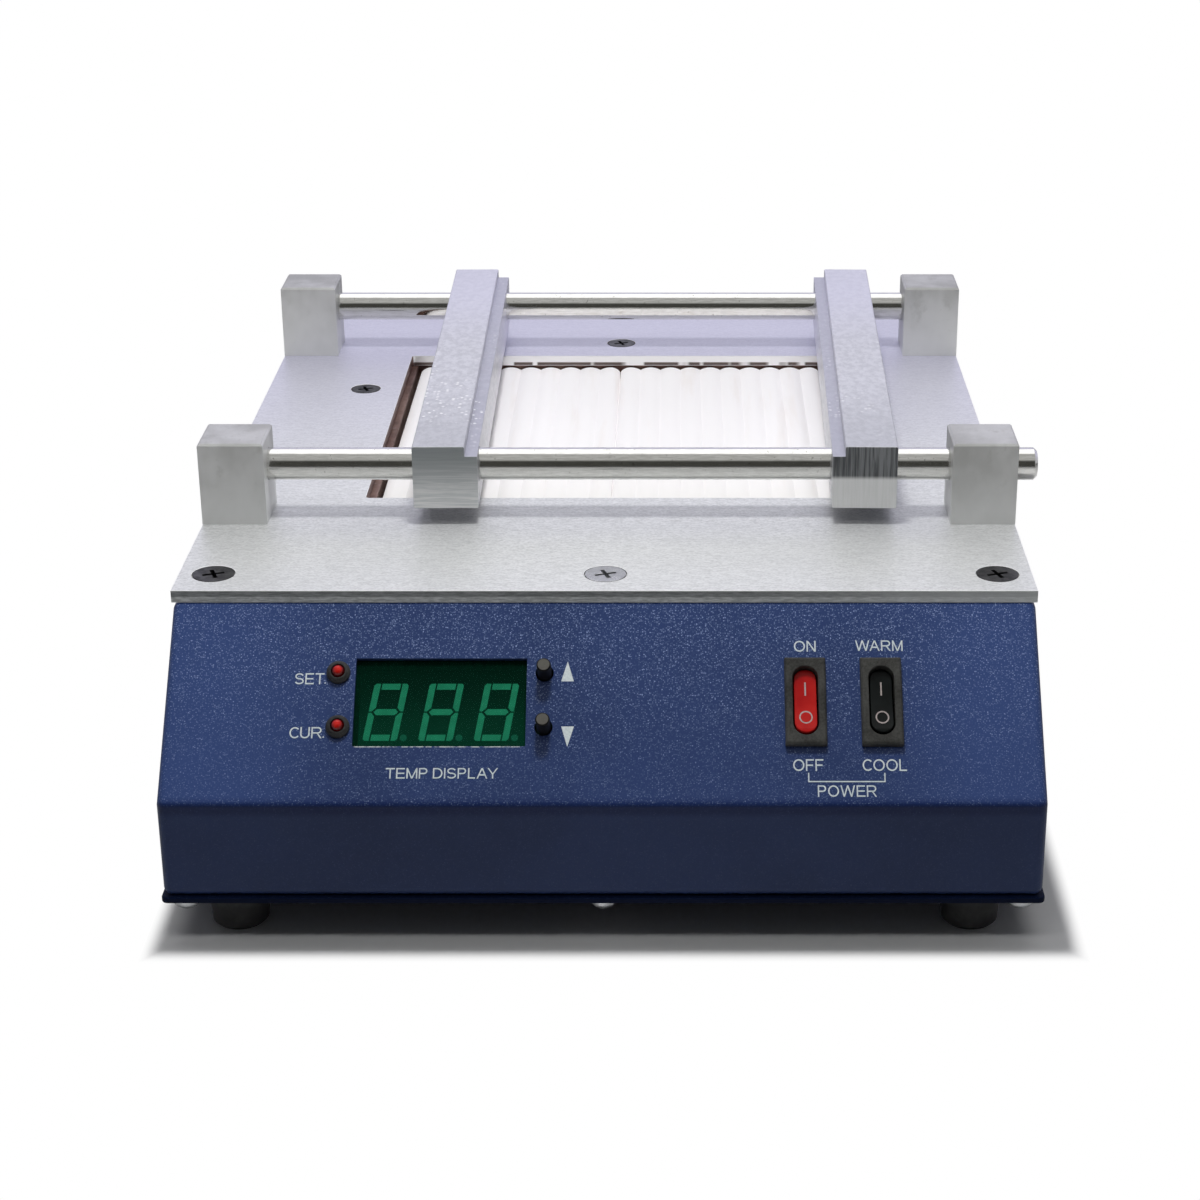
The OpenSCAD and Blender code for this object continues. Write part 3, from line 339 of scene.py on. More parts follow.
def bar_metal(name, node, saw):
    """Sawn aluminium bar: sides full of small facets with painted glints on top, a painted lavender
    reflection to the rear, and saw lines on its ends, the arc-sawn ones with painted shade toward the top.
    """
    made = Finish(name, (0.66, 0.67, 0.70), 0.36, 0.62)
    low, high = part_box(node)
    drawn = made.noise((620, 360, 620), 3, 0.65)
    distance, chance = made.cells((950, 750, 950))
    # Painted glints: bright dots on the top faces, weaker toward the rear
    spark = made.math("MULTIPLY", made.span(chance, 0.62, 0.90), made.span(distance, 0.20, 0.60, 1.0, 0.0))
    patch = made.span(made.noise((70, 34, 70), 2), 0.40, 0.60)
    near = made.span(made.axis("Y"), low.y + BAR_GLINT_FADE[0], high.y - BAR_GLINT_FADE[1], 1.0, 0.25)
    near = made.math("MULTIPLY", near, made.span(made.facing("Z"), 0.5, 0.8))
    spark = made.math("MULTIPLY", spark, made.math("MULTIPLY", patch, near))
    sides = made.mix(made.span(drawn, 0.34, 0.68), (0.60, 0.605, 0.64), (0.75, 0.755, 0.785))
    front = made.span(made.axis("Y"), low.y + BAR_DARKER[0], low.y + BAR_DARKER[1], 0.45, 0.0)
    sides = made.mix(front, sides, (0.40, 0.41, 0.43))
    # Painted reflection: lavender toward the rear end
    rear = made.span(made.axis("Y"), high.y - BAR_LAVENDER_REFLECTION[0], high.y - BAR_LAVENDER_REFLECTION[1], 0.0, 0.55)
    sides = made.mix(rear, sides, (0.82, 0.81, 0.96))
    ledge = made.span(made.axis("Z"), high.z - BAR_LEDGE[0], high.z - BAR_LEDGE[1], 0.7, 0.0)
    ledge = made.math("MULTIPLY", ledge, made.span(made.facing("Z"), 0.7, 0.9))
    sides = made.mix(ledge, sides, (0.44, 0.44, 0.52))
    sides = made.mix(spark, sides, (1.0, 1.0, 1.0))
    if saw == "arc":
        cut = made.noise((60, 60, 1500), 3, 0.6, 0.9)
        ends = made.mix(made.span(cut, 0.36, 0.62), (0.76, 0.785, 0.79), (1.0, 1.0, 1.0))
        # Painted shade: the arc-sawn end darker toward its top
        shade = made.span(made.axis("Z"), low.z + SAWN_MARGIN, high.z - SAWN_MARGIN, 0.0, 0.9)
        ends = made.mix(shade, ends, (0.25, 0.275, 0.285))
    else:
        cut = made.noise((1700, 60, 70), 3, 0.6, 0.5)
        dark = made.mix(made.span(cut, 0.34, 0.64), (0.08, 0.085, 0.09), (0.26, 0.27, 0.28))
        pale = made.mix(made.span(cut, 0.34, 0.64), (0.92, 0.93, 0.92), (1.0, 1.0, 1.0))
        upper = made.span(made.axis("Z"), low.z + SAWN_TONES[0], low.z + SAWN_TONES[1])
        ends = made.mix(upper, pale, dark)
    end = made.span(made.math("ABSOLUTE", made.facing("Y")), 0.7, 0.95)
    made.set("Base Color", made.mix(end, sides, ends))
    made.set("Metallic", made.span(end, 0, 1, 0.62, 0.25))
    made.set("Roughness", made.span(drawn, 0.2, 0.8, 0.44, 0.30))
    relief = made.mix(end, made.math("ADD", drawn, made.math("MULTIPLY", chance, 0.9)), cut)
    made.set("Normal", made.bump(relief, 0.26, 0.07 * MM))
    return made.material


# Heights between which a post's sides go from painted light, paler near the plate, to their own grey
POST_PLATE_LIGHT = (PLATE_HIGH.z + 2 * MM, PLATE_HIGH.z + 19 * MM)


def post_metal():
    """Smooth milled aluminium posts with a faint cloud of handling marks, painted light making their sides
    paler near the plate.
    """
    made = Finish("post_metal", (0.60, 0.60, 0.595), 0.40, 0.65)
    cloud = made.noise((70, 70, 50), 3, 0.6)
    fine = made.noise((2200, 2200, 420), 2)
    stain = made.noise((260, 260, 200), 3, 0.65)
    grey = made.mix(made.span(cloud, 0.3, 0.7), (0.50, 0.50, 0.485), (0.74, 0.74, 0.735))
    grey = made.mix(made.span(stain, 0.55, 0.75, 0.0, 0.45), grey, (0.42, 0.42, 0.395))
    top = made.span(made.facing("Z"), 0.5, 0.9)
    # Painted light: sides paler near the plate
    plate_light = made.span(made.axis("Z"), *POST_PLATE_LIGHT, 0.62, 0.12)
    pale = made.mix(plate_light, grey, (0.96, 0.97, 0.96))
    dim = made.mix(0.22, grey, (0.16, 0.16, 0.165))
    made.set("Base Color", made.mix(top, pale, dim))
    made.set("Metallic", made.span(top, 0, 1, 0.35, 0.65))
    made.set("Roughness", made.span(fine, 0.3, 0.7, 0.38, 0.48))
    made.set("Normal", made.bump(fine, 0.10, 0.05 * MM))
    return made.material


def rod_steel():
    """Ground and polished rod: faint marks of the grinding along it and a few fine nicks."""
    made = Finish("rod_steel", (0.78, 0.775, 0.75), 0.10, 1.0)
    along = made.noise((300, 2600, 2600), 3, 0.6)
    smear = made.noise((60, 240, 240), 3)
    nicks = made.span(made.noise((1500, 900, 900), 2), 0.66, 0.76)
    tone = made.mix(made.span(along, 0.3, 0.7), (0.72, 0.715, 0.69), (0.86, 0.855, 0.83))
    made.set("Base Color", made.mix(nicks, tone, (0.50, 0.49, 0.47)))
    made.set("Roughness", made.span(smear, 0.3, 0.75, 0.07, 0.15))
    made.set("Normal", made.bump(along, 0.05, 0.02 * MM))
    return made.material


def dull_metal(name, dark, light, roughness, scale=500, metallic=0.9):
    """Plain plated or blackened metal with a little cloud and grain."""
    made = Finish(name, light, roughness, metallic)
    cloud = made.noise((scale, scale, scale), 3, 0.6)
    made.set("Base Color", made.mix(made.span(cloud, 0.3, 0.7), dark, light))
    made.set("Roughness", made.span(cloud, 0.25, 0.75, roughness * 1.2, roughness * 0.85))
    made.set("Normal", made.bump(made.noise((2600, 2600, 2600), 1), 0.08, 0.03 * MM))
    return made.material


def plastic(name, dark, light, roughness, grain=2200, relief=0.12):
    """Moulded plastic with a fine spark-eroded grain."""
    made = Finish(name, light, roughness)
    made.set("Specular IOR Level", 0.3)
    skin = made.noise((grain, grain, grain), 2, 0.6)
    cloud = made.noise((160, 160, 160), 2)
    tone = made.math("ADD", made.math("MULTIPLY", skin, 0.5), made.math("MULTIPLY", cloud, 0.5))
    made.set("Base Color", made.mix(made.span(tone, 0.3, 0.7), dark, light))
    made.set("Roughness", made.span(skin, 0.25, 0.75, roughness * 1.12, roughness * 0.88))
    made.set("Normal", made.bump(skin, relief, 0.05 * MM))
    return made.material


# Half the width of a rocker, beyond which its sides are painted black as shade in the gap beside it, and
# the blur of that line
ROCKER_HALF = 2.55 * MM
GAP_SHADE_BLUR = 0.03 * MM


def rocker_plastic(name, node, dark, light):
    """Glossy rocker whose sides, beyond its face, are painted black as shade in the gap beside it."""
    made = Finish(name, light, 0.26)
    made.set("Specular IOR Level", 0.12)
    low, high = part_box(node)
    cloud = made.noise((160, 160, 160), 2)
    face = made.mix(made.span(cloud, 0.3, 0.7), dark, light)
    outward = made.math("ABSOLUTE", made.middle("X", (low.x + high.x) / 2))
    # Painted shade: black beyond the rocker's face
    pin = made.span(outward, ROCKER_HALF, ROCKER_HALF + GAP_SHADE_BLUR)
    made.set("Base Color", made.mix(pin, face, (0.004, 0.004, 0.004)))
    made.set("Normal", made.bump(made.noise((1200, 1200, 1200), 2), 0.03, 0.05 * MM))
    return made.material


# Where the painted shade on the ceramic's front ends, and half the width of the painted glow in the joint
# of the two elements
FRONT_SHADE_END = (PLATE_LOW.y + 55 * MM, PLATE_LOW.y + 110 * MM)
JOINT_GLOW_HALF = (0.8 * MM, 2.0 * MM)


def ceramic():
    """White fired ceramic: barely creamed in streaks, with painted shade toward the front, a faint painted
    glow all over and a brighter one in the joint of the two.
    """
    made = Finish("ceramic", (0.94, 0.93, 0.935), 0.50)
    stain = made.noise((200, 16, 60), 3, 0.6)
    spot = made.noise((1500, 1500, 1500), 2)
    tone = made.mix(made.span(stain, 0.50, 0.80), (0.93, 0.91, 0.925), (0.87, 0.83, 0.82))
    # Painted shade: darker and warmer toward the front
    ahead = made.span(made.axis("Y"), *FRONT_SHADE_END, 1.0, 0.0)
    tone = made.mix(ahead, tone, (0.80, 0.785, 0.76))
    made.set("Base Color", made.mix(made.span(spot, 0.60, 0.85, 0.0, 0.2), tone, (0.86, 0.83, 0.80)))
    # Painted glow: faint all over, brighter in the joint of the two elements
    joint = made.math("ABSOLUTE", made.middle("X", MIDDLE_X))
    turned = made.span(made.facing("Z"), 0.30, 0.97, 1.0, 0.0)
    joint = made.math("MULTIPLY", made.span(joint, *JOINT_GLOW_HALF, 1.0, 0.0), turned)
    made.set("Emission Color", made.mix(joint, (0.040, 0.039, 0.040), (0.21, 0.205, 0.21)))
    made.set("Emission Strength", 1.0)
    made.set("Normal", made.bump(spot, 0.12, 0.06 * MM))
    return made.material


def tinted_steel():
    """Steel tray that heat has turned brown, with pale scale in places."""
    made = Finish("tinted_steel", (0.18, 0.10, 0.08), 0.42, 0.7)
    tint = made.noise((70, 70, 200), 4, 0.65)
    scale = made.noise((400, 400, 400), 3)
    brown = made.mix(made.span(tint, 0.3, 0.7), (0.11, 0.055, 0.045), (0.30, 0.19, 0.15))
    made.set("Base Color", made.mix(made.span(scale, 0.62, 0.8, 0.0, 0.6), brown, (0.50, 0.44, 0.40)))
    made.set("Roughness", made.span(tint, 0.3, 0.7, 0.50, 0.34))
    made.set("Normal", made.bump(scale, 0.12, 0.08 * MM))
    return made.material


def insulation():
    """Fibre pad: soft, pale and matt."""
    made = Finish("insulation", (0.78, 0.73, 0.64), 0.95)
    fibre = made.noise((900, 260, 900), 5, 0.7, 1.5)
    made.set("Base Color", made.mix(made.span(fibre, 0.3, 0.7), (0.60, 0.55, 0.46), (0.86, 0.82, 0.74)))
    made.set("Normal", made.bump(fibre, 0.6, 0.3 * MM))
    return made.material


def green_filter():
    """Tinted acrylic pane in front of the digits."""
    made = Finish("green_filter", (0.002, 0.022, 0.012), 0.06)
    haze = made.noise((600, 600, 600), 3)
    made.set("Base Color", made.mix(haze, (0.001, 0.020, 0.010), (0.003, 0.028, 0.016)))
    made.set("Roughness", made.span(haze, 0.3, 0.7, 0.18, 0.24))
    made.set("Specular IOR Level", 0.02)
    made.set("Alpha", 0.5)
    return made.material


# Places down the slope between which the display's face goes from painted shade to greener painted light
# from the segments
DISPLAY_GLOW = (17 * MM, 33 * MM)


def display_face():
    """Dark face of the display module: painted shade at its top, and toward its lower edge a greener colour
    and glow painted as light from the segments.
    """
    made = Finish("display_black", (0.005, 0.04, 0.024), 0.6)
    made.set("Specular IOR Level", 0.05)
    # Painted shade at the top, painted light from the segments toward the lower edge
    depth = made.span(made.slope_place(), *DISPLAY_GLOW)
    cloud = made.noise((300, 300, 300), 2)
    low = made.mix(cloud, (0.011, 0.086, 0.052), (0.016, 0.112, 0.068))
    made.set("Base Color", made.mix(depth, (0.004, 0.014, 0.011), low))
    made.set("Emission Color", made.mix(depth, (0.0, 0.002, 0.001), (0.002, 0.045, 0.022)))
    made.set("Emission Strength", 1.0)
    return made.material


def lit_segment(name, color):
    """Green diffuser of a display segment, softly lit from inside."""
    made = Finish(name, color, 0.5)
    glow = made.noise((500, 500, 500), 2)
    color = made.mix(made.span(glow, 0.3, 0.7), tuple(0.85 * c for c in color), color)
    made.set("Base Color", color)
    made.set("Emission Color", color)
    made.set("Emission Strength", 1.15)
    return made.material


def red_lamp():
    """Red epoxy dome of an indicator lamp, painted bright in its middle and dark toward its rim by which
    way its surface faces.
    """
    made = Finish("red_lamp", (0.26, 0.010, 0.007), 0.10)
    haze = made.noise((900, 900, 900), 2)
    core = made.mix(haze, (0.40, 0.008, 0.006), (0.62, 0.016, 0.010))
    # Painted light: bright where the dome faces out of the panel, dark toward its rim
    color = made.mix(made.span(made.along(PANEL_OUT), 0.55, 0.98), (0.07, 0.001, 0.001), core)
    made.set("Base Color", color)
    made.set("Emission Color", color)
    made.set("Emission Strength", 0.05)
    made.set("Specular IOR Level", 0.25)
    made.set("Coat Weight", 0.15)
    made.set("Coat Roughness", 0.05)
    return made.material


def circuit_board(name, dark, light):
    """Laminate with a faint weave under its lacquer."""
    made = Finish(name, light, 0.40)
    warp = made.noise((1400, 200, 200), 1)
    weft = made.noise((200, 1400, 200), 1)
    weave = made.math("MULTIPLY", warp, weft)
    made.set("Base Color", made.mix(made.span(weave, 0.1, 0.4), dark, light))
    made.set("Normal", made.bump(weave, 0.2, 0.05 * MM))
    return made.material


def laminated_core():
    """Transformer steel: thin sheets stacked along Y."""
    made = Finish("laminated_core", (0.22, 0.22, 0.24), 0.45, 0.7)
    sheets = made.noise((10, 2600, 10), 1)
    made.set("Base Color", made.mix(made.span(sheets, 0.35, 0.65), (0.12, 0.12, 0.13), (0.32, 0.32, 0.34)))
    made.set("Normal", made.bump(sheets, 0.4, 0.2 * MM))
    return made.material


def clear_glass():
    """Fuse glass with a slight grey cast."""
    made = Finish("clear_glass", (0.85, 0.88, 0.86), 0.05)
    haze = made.noise((700, 700, 700), 2)
    made.set("Base Color", made.mix(haze, (0.80, 0.83, 0.81), (0.92, 0.94, 0.92)))
    made.set("Transmission Weight", 0.8)
    return made.material


def button_plastic():
    """Black push button whose end, facing out of the panel, is painted grey as lit."""
    made = Finish("button_plastic", (0.02, 0.02, 0.02), 0.5)
    made.set("Specular IOR Level", 0.15)
    skin = made.noise((1800, 1800, 1800), 2, 0.6)
    end = made.mix(skin, (0.090, 0.087, 0.077), (0.130, 0.125, 0.112))
    side = made.mix(skin, (0.006, 0.006, 0.007), (0.012, 0.012, 0.013))
    # Painted light: the end that faces out of the panel is grey, the sides black
    made.set("Base Color", made.mix(made.span(made.along(PANEL_OUT), 0.80, 0.97), side, end))
    made.set("Normal", made.bump(skin, 0.1, 0.05 * MM))
    return made.material


def rubber():
    """Moulded black rubber, dusty on its sides."""
    made = Finish("rubber", (0.02, 0.02, 0.021), 0.75)
    dust = made.noise((260, 260, 260), 4, 0.65)
    black = made.mix(made.span(dust, 0.4, 0.8), (0.010, 0.010, 0.011), (0.045, 0.044, 0.043))
    made.set("Base Color", black)
    made.set("Roughness", made.span(dust, 0.3, 0.8, 0.62, 0.88))
    made.set("Normal", made.bump(made.noise((1800, 1800, 1800), 2), 0.2, 0.06 * MM))
    return made.material


def white_ink(name, light, dark):
    """Screen-printed ink with slightly uneven cover."""
    made = Finish(name, light, 0.55)
    cover = made.noise((1600, 1600, 1600), 3, 0.6)
    made.set("Base Color", made.mix(made.span(cover, 0.3, 0.8), light, dark))
    return made.material


BLUE = (0.024, 0.045, 0.136)
FLAKE = (0.28, 0.36, 0.58)
blue_paint = powder_coat("blue_paint", BLUE, FLAKE, 0.2)
base_paint = powder_coat("base_paint", (0.005, 0.010, 0.034), (0.05, 0.07, 0.12), 0.04)
zinc = dull_metal("zinc", (0.46, 0.47, 0.48), (0.68, 0.69, 0.70), 0.30)
black_oxide = dull_metal("black_oxide", (0.03, 0.03, 0.032), (0.09, 0.09, 0.092), 0.38)
bright_steel = dull_metal("bright_steel", (0.42, 0.42, 0.42), (0.64, 0.64, 0.65), 0.30)
brass = dull_metal("brass", (0.42, 0.30, 0.12), (0.66, 0.50, 0.24), 0.32)
dark_aluminium = dull_metal("dark_aluminium", (0.05, 0.05, 0.055), (0.10, 0.10, 0.11), 0.45, 300)
post_finish = post_metal()
button_finish = button_plastic()
black_plastic = plastic("black_plastic", (0.018, 0.018, 0.018), (0.042, 0.042, 0.041), 0.50)
bezel_plastic = plastic("bezel_plastic", (0.022, 0.022, 0.020), (0.060, 0.060, 0.056), 0.55, 1700, 0.3)
display_black = display_face()
nylon = plastic("nylon", (0.70, 0.69, 0.64), (0.84, 0.83, 0.79), 0.5)
green_plastic = plastic("green_plastic", (0.02, 0.12, 0.05), (0.04, 0.19, 0.09), 0.4)
RED = ((0.34, 0.008, 0.008), (0.46, 0.016, 0.013))
BLACK = ((0.004, 0.005, 0.005), (0.008, 0.010, 0.010))

FINISHES = {
    "case_shell": blue_paint,
    "base_plate": base_paint,
    "rubber_feet": rubber(),
    "foot_screws": zinc,
    "base_screws": zinc,
    "top_plate": plate_metal(),
    "plate_screws_black": black_oxide,
    "plate_screws_zinc": zinc,
    "tray_screws": black_oxide,
    "post_front_left": post_finish,
    "post_front_right": post_finish,
    "post_rear_left": post_finish,
    "post_rear_right": post_finish,
    "post_screws": zinc,
    "rod_set_screws": black_oxide,
    "front_rod": rod_steel(),
    "rear_rod": rod_steel(),
    "clamp_bar_left": bar_metal("bar_metal_arc", "clamp_bar_left", "arc"),
    "clamp_bar_right": bar_metal("bar_metal_straight", "clamp_bar_right", "straight"),
    "heater_left": ceramic(),
    "heater_right": ceramic(),
    "heater_clips": bright_steel,
    "heater_tray": tinted_steel(),
    "insulation_pad": insulation(),
    "thermocouple": bright_steel,
    "display_window": green_filter(),
    "display_module": display_black,
    "led_bezels": black_plastic,
    "indicator_leds": red_lamp(),
    "control_board": circuit_board("green_board", (0.010, 0.08, 0.03), (0.03, 0.16, 0.07)),
    "board_spacers": brass,
    "board_screws": zinc,
    "key_switches": black_plastic,
    "controller_chip": black_plastic,
    "up_button": button_finish,
    "down_button": button_finish,
    "power_switch_housing": bezel_plastic,
    "heat_switch_housing": bezel_plastic,
    "switch_terminals": brass,
    "power_rocker": rocker_plastic("red_rocker", "power_rocker", *RED),
    "heat_rocker": rocker_plastic("black_rocker", "heat_rocker", *BLACK),
    "mains_inlet": bezel_plastic,
    "inlet_pins": bright_steel,
    "inlet_screws": zinc,
    "power_board": circuit_board("brown_board", (0.16, 0.09, 0.03), (0.30, 0.19, 0.08)),
    "power_board_spacers": nylon,
    "power_board_screws": zinc,
    "transformer": laminated_core(),
    "heat_sink": dark_aluminium,
    "triac": black_plastic,
    "fuse": clear_glass(),
    "terminal_block": green_plastic,
}

# Width of the softened edges, in metres; the rest have a finer one
EDGE_WIDTHS = {
    "top_plate": 0.16 * MM,
    "base_plate": 0.30 * MM,
    "power_switch_housing": 0.22 * MM,
    "heat_switch_housing": 0.22 * MM,
    "power_rocker": 0.22 * MM,
    "heat_rocker": 0.22 * MM,
    "clamp_bar_left": 0.16 * MM,
    "clamp_bar_right": 0.16 * MM,
    "mains_inlet": 0.25 * MM,
}
FINE_EDGE = 0.08 * MM
# Faces that lie this close to one plane are joined, and edges sharper than the second angle are rounded
FLAT_ANGLE = math.radians(0.4)
SHARP_ANGLE = math.radians(32)
# Points closer than this are one
SAME_PLACE = 0.001 * MM


def soften_edges(piece, width):
    """Rounds the edges a little, so that they catch the light; the solid itself stays as it is."""
    weld = piece.modifiers.new("weld", "WELD")
    weld.merge_threshold = SAME_PLACE
    flat = piece.modifiers.new("flat", "DECIMATE")
    flat.decimate_type = "DISSOLVE"
    flat.angle_limit = FLAT_ANGLE
    bevel = piece.modifiers.new("edges", "BEVEL")
    bevel.width = width
    bevel.segments = 2
    bevel.limit_method = "ANGLE"
    bevel.angle_limit = SHARP_ANGLE
    bevel.use_clamp_overlap = False
    normals = piece.modifiers.new("normals", "WEIGHTED_NORMAL")
    normals.keep_sharp = True


def dress_nodes():
    for name, material in FINISHES.items():
        piece = nodes[name]
        piece.data.materials.clear()
        piece.data.materials.append(material)
        soften_edges(piece, EDGE_WIDTHS.get(name, FINE_EDGE))


# Printed marks and the display's digits


def add_mesh(name, mesh_data, material, body, place=Matrix.Identity(4)):
    """Finishes a bmesh as a piece that rides on a body."""
    mesh = bpy.data.meshes.new(name)
    mesh_data.to_mesh(mesh)
    mesh_data.free()
    mesh.materials.append(material)
    piece = bpy.data.objects.new(name, mesh)
    piece.matrix_world = place
    bpy.context.scene.collection.objects.link(piece)
    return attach(piece, body)


def prism(mesh_data, outline, thick):
    """Adds a flat outline, given counterclockwise, raised by a thickness."""
    low = [mesh_data.verts.new((x, y, 0)) for x, y in outline]
    high = [mesh_data.verts.new((x, y, thick)) for x, y in outline]
    mesh_data.faces.new(high)
    mesh_data.faces.new(low[::-1])
    for i in range(len(outline)):
        j = (i + 1) % len(outline)
        mesh_data.faces.new((low[i], low[j], high[j], high[i]))


def circle(radius, count, center=(0.0, 0.0)):
    """Points of a circle, counterclockwise."""
    turns = [2 * math.pi * i / count for i in range(count)]
    return [(center[0] + radius * math.cos(t), center[1] + radius * math.sin(t)) for t in turns]


def arc(center, radii, start, stop, count=14):
    """Points of an elliptical arc between two angles in degrees."""
    turns = [math.radians(start + (stop - start) * i / count) for i in range(count + 1)]
    return [(center[0] + radii[0] * math.cos(t), center[1] + radii[1] * math.sin(t)) for t in turns]


def stroke(mesh_data, path, width, thick, closed=False):
    """Adds a line of even width along a path of points, raised by a thickness."""
    count = len(path)
    rows = []
    for i in range(count):
        here = Vector(path[i])
        steps = []
        if closed or i > 0:
            steps.append((here - Vector(path[i - 1])).normalized())
        if closed or i < count - 1:
            steps.append((Vector(path[(i + 1) % count]) - here).normalized())
        step = sum(steps, Vector((0, 0))).normalized()
        side = Vector((-step.y, step.x)) * (width / 2 / step.dot(steps[0]))
        corners = [(here + side, 0), (here - side, 0), (here - side, thick), (here + side, thick)]
        rows.append([mesh_data.verts.new((p.x, p.y, z)) for p, z in corners])
    for i in range(count if closed else count - 1):
        a, b = rows[i], rows[(i + 1) % count]
        for k in range(4):
            mesh_data.faces.new((a[k], a[k - 1], b[k - 1], b[k]))
    if not closed:
        mesh_data.faces.new(rows[0])
        mesh_data.faces.new(rows[-1][::-1])


# Line width of the letters, as a share of their height, and half of it
PEN = 0.12
HALF = PEN / 2


def slab(x0, y0, x1, y1, wide=PEN):
    """A straight stroke from a lower to an upper place, cut off level at both ends."""
    return [(x0, y0), (x0 + wide, y0), (x1 + wide, y1), (x1, y1)]


def bowl(right, low, high, round_x):
    """Path of a rounded bowl that leaves a stem at the top and comes back to it below."""
    center = (right - round_x, (low + high) / 2)
    turn = arc(center, (round_x, (high - low) / 2), 90, -90)
    return [(HALF, high)] + turn + [(HALF, low)]


def arms(places):
    """Level strokes from a stem, each given by its lower edge and the letter's width there."""
    return [slab(PEN, y, PEN, y + PEN, reach - PEN) for y, reach in places]


# Widths of the letters, as a share of their height
LETTER_WIDTHS = {
    "A": 0.93, "C": 0.89, "D": 0.83, "E": 0.76, "F": 0.68, "I": PEN, "L": 0.62, "M": 0.95, "N": 0.79,
    "O": 0.955, "P": 0.77, "R": 0.88, "S": 0.80, "T": 0.79, "U": 0.785, "W": 1.29, "Y": 0.92,
}


def letter_shapes(letter):
    """Width of a letter one unit tall, its straight pieces, its curved paths and its closed paths."""
    wide = LETTER_WIDTHS[letter]
    far = wide - PEN
    mid = far / 2
    stem = slab(0, 0, 0, 1)
    reach = (mid, 0.5 - HALF)
    middle = (wide / 2, 0.5)
    if letter == "A":
        bar = slab(0.2 * wide, 0.28, 0.24 * wide, 0.41, 0.56 * wide)
        return wide, [slab(0, 0, mid, 1), slab(far, 0, mid, 1), bar], [], []
    if letter == "C":
        return wide, [], [arc(middle, reach, 42, 318, 28)], []
    if letter == "D":
        return wide, [stem], [bowl(wide - HALF, HALF, 1 - HALF, 0.42)], []
    if letter == "E":
        return wide, [stem] + arms(((0, wide), (0.44, 0.93 * wide), (1 - PEN, 0.97 * wide))), [], []
    if letter == "F":
        return wide, [stem] + arms(((0.43, 0.88 * wide), (1 - PEN, wide))), [], []
    if letter == "I":
        return wide, [stem], [], []
    if letter == "L":
        return wide, [stem, slab(PEN, 0, PEN, PEN, far)], [], []
    if letter == "M":
        return wide, [stem, slab(far, 0, far, 1), slab(mid, 0, 0, 1), slab(mid, 0, far, 1)], [], []
    if letter == "N":
        return wide, [stem, slab(far, 0, far, 1), slab(far - 0.2 * PEN, 0, 0, 1, 1.2 * PEN)], [], []
    if letter == "O":
        return wide, [], [], [arc(middle, reach, 0, 352, 44)]
    if letter in "PR":
        pieces = [stem]
        if letter == "R":
            pieces.append(slab(far - 0.02, 0, 0.47 * wide, 0.47, 1.15 * PEN))
        return wide, pieces, [bowl(0.95 * wide - HALF, 0.42 + HALF, 1 - HALF, 0.23)], []
    if letter == "S":
        tall = (0.5 - HALF) / 2
        upper = arc((wide / 2, 1 - HALF - tall), (0.93 * mid, tall), 18, 262, 18)
        lower = arc((wide / 2, HALF + tall), (mid, tall), 82, -162, 18)
        return wide, [], [upper + lower], []
    if letter == "T":
        return wide, [slab(mid, 0, mid, 1 - PEN), slab(0, 1 - PEN, 0, 1, wide)], [], []
    if letter == "U":
        turn = arc((wide / 2, 0.36), (mid, 0.36 - HALF), 180, 360, 18)
        return wide, [], [[(HALF, 1)] + turn + [(wide - HALF, 1)]], []
    if letter == "W":
        left = 0.25 * wide - HALF
        right = 0.75 * wide - HALF
        legs = [slab(left, 0, 0, 1), slab(left, 0, mid, 1), slab(right, 0, mid, 1), slab(right, 0, far, 1)]
        return wide, legs, [], []
    return wide, [slab(mid, 0, mid, 0.43), slab(mid, 0.41, 0, 1), slab(mid, 0.41, far, 1)], [], []


# Space between letters and between words, as a share of the letters' height
LETTER_SPACE = 0.13
WORD_SPACE = 0.32
# Letters that lean into each other, and how much closer they stand
CLOSE_PAIRS = ("WA", "AY", "CO", "CU")
PAIR_PULL = 0.13


def printed_word(name, text, left, right, top, bottom, ink):
    """A word in a plain letter, fitted into a box on the panel given in millimetres."""
    word = bmesh.new()
    pen_x = 0.0
    for i, letter in enumerate(text):
        if text[max(i - 1, 0):i + 1] in CLOSE_PAIRS:
            pen_x -= PAIR_PULL
        if letter == " ":
            pen_x += WORD_SPACE
            continue
        wide, pieces, paths, rings = letter_shapes(letter)
        for outline in pieces:
            prism(word, [(pen_x + x, y) for x, y in outline], INK_THICK)
        for path in paths:
            stroke(word, [(pen_x + x, y) for x, y in path], PEN, INK_THICK)
        for ring in rings:
            stroke(word, [(pen_x + x, y) for x, y in ring], PEN, INK_THICK, True)
        pen_x += wide + LETTER_SPACE
    across = (right - left) * MM / (pen_x - LETTER_SPACE)
    tall = (bottom - top) * MM
    for vert in word.verts:
        vert.co.x *= across
        vert.co.y *= tall
    bmesh.ops.recalc_face_normals(word, faces=word.faces[:])
    place = on_panel(left * MM, bottom * MM, INK_LIFT)
    return add_mesh(name, word, ink, "housing", place)


# Words on the panel: text, left, right, top and bottom in millimetres
WORDS = {
    "word_on": ("ON", 43.5, 48.5, 9.5, 12.2),
    "word_off": ("OFF", 42.8, 49.6, 38.3, 41.1),
    "word_warm": ("WARM", 57.55, 68.4, 9.4, 12.0),
    "word_cool": ("COOL", 58.4, 68.3, 38.3, 41.1),
    "word_power": ("POWER", 48.2, 61.4, 44.5, 47.2),
    "word_set": ("SET", -70.3, -63.6, 17.5, 20.2),
    "word_current": ("CUR", -70.75, -63.4, 30.6, 33.3),
    "word_display": ("TEMP DISPLAY", -48.6, -23.4, 40.4, 42.9),
}


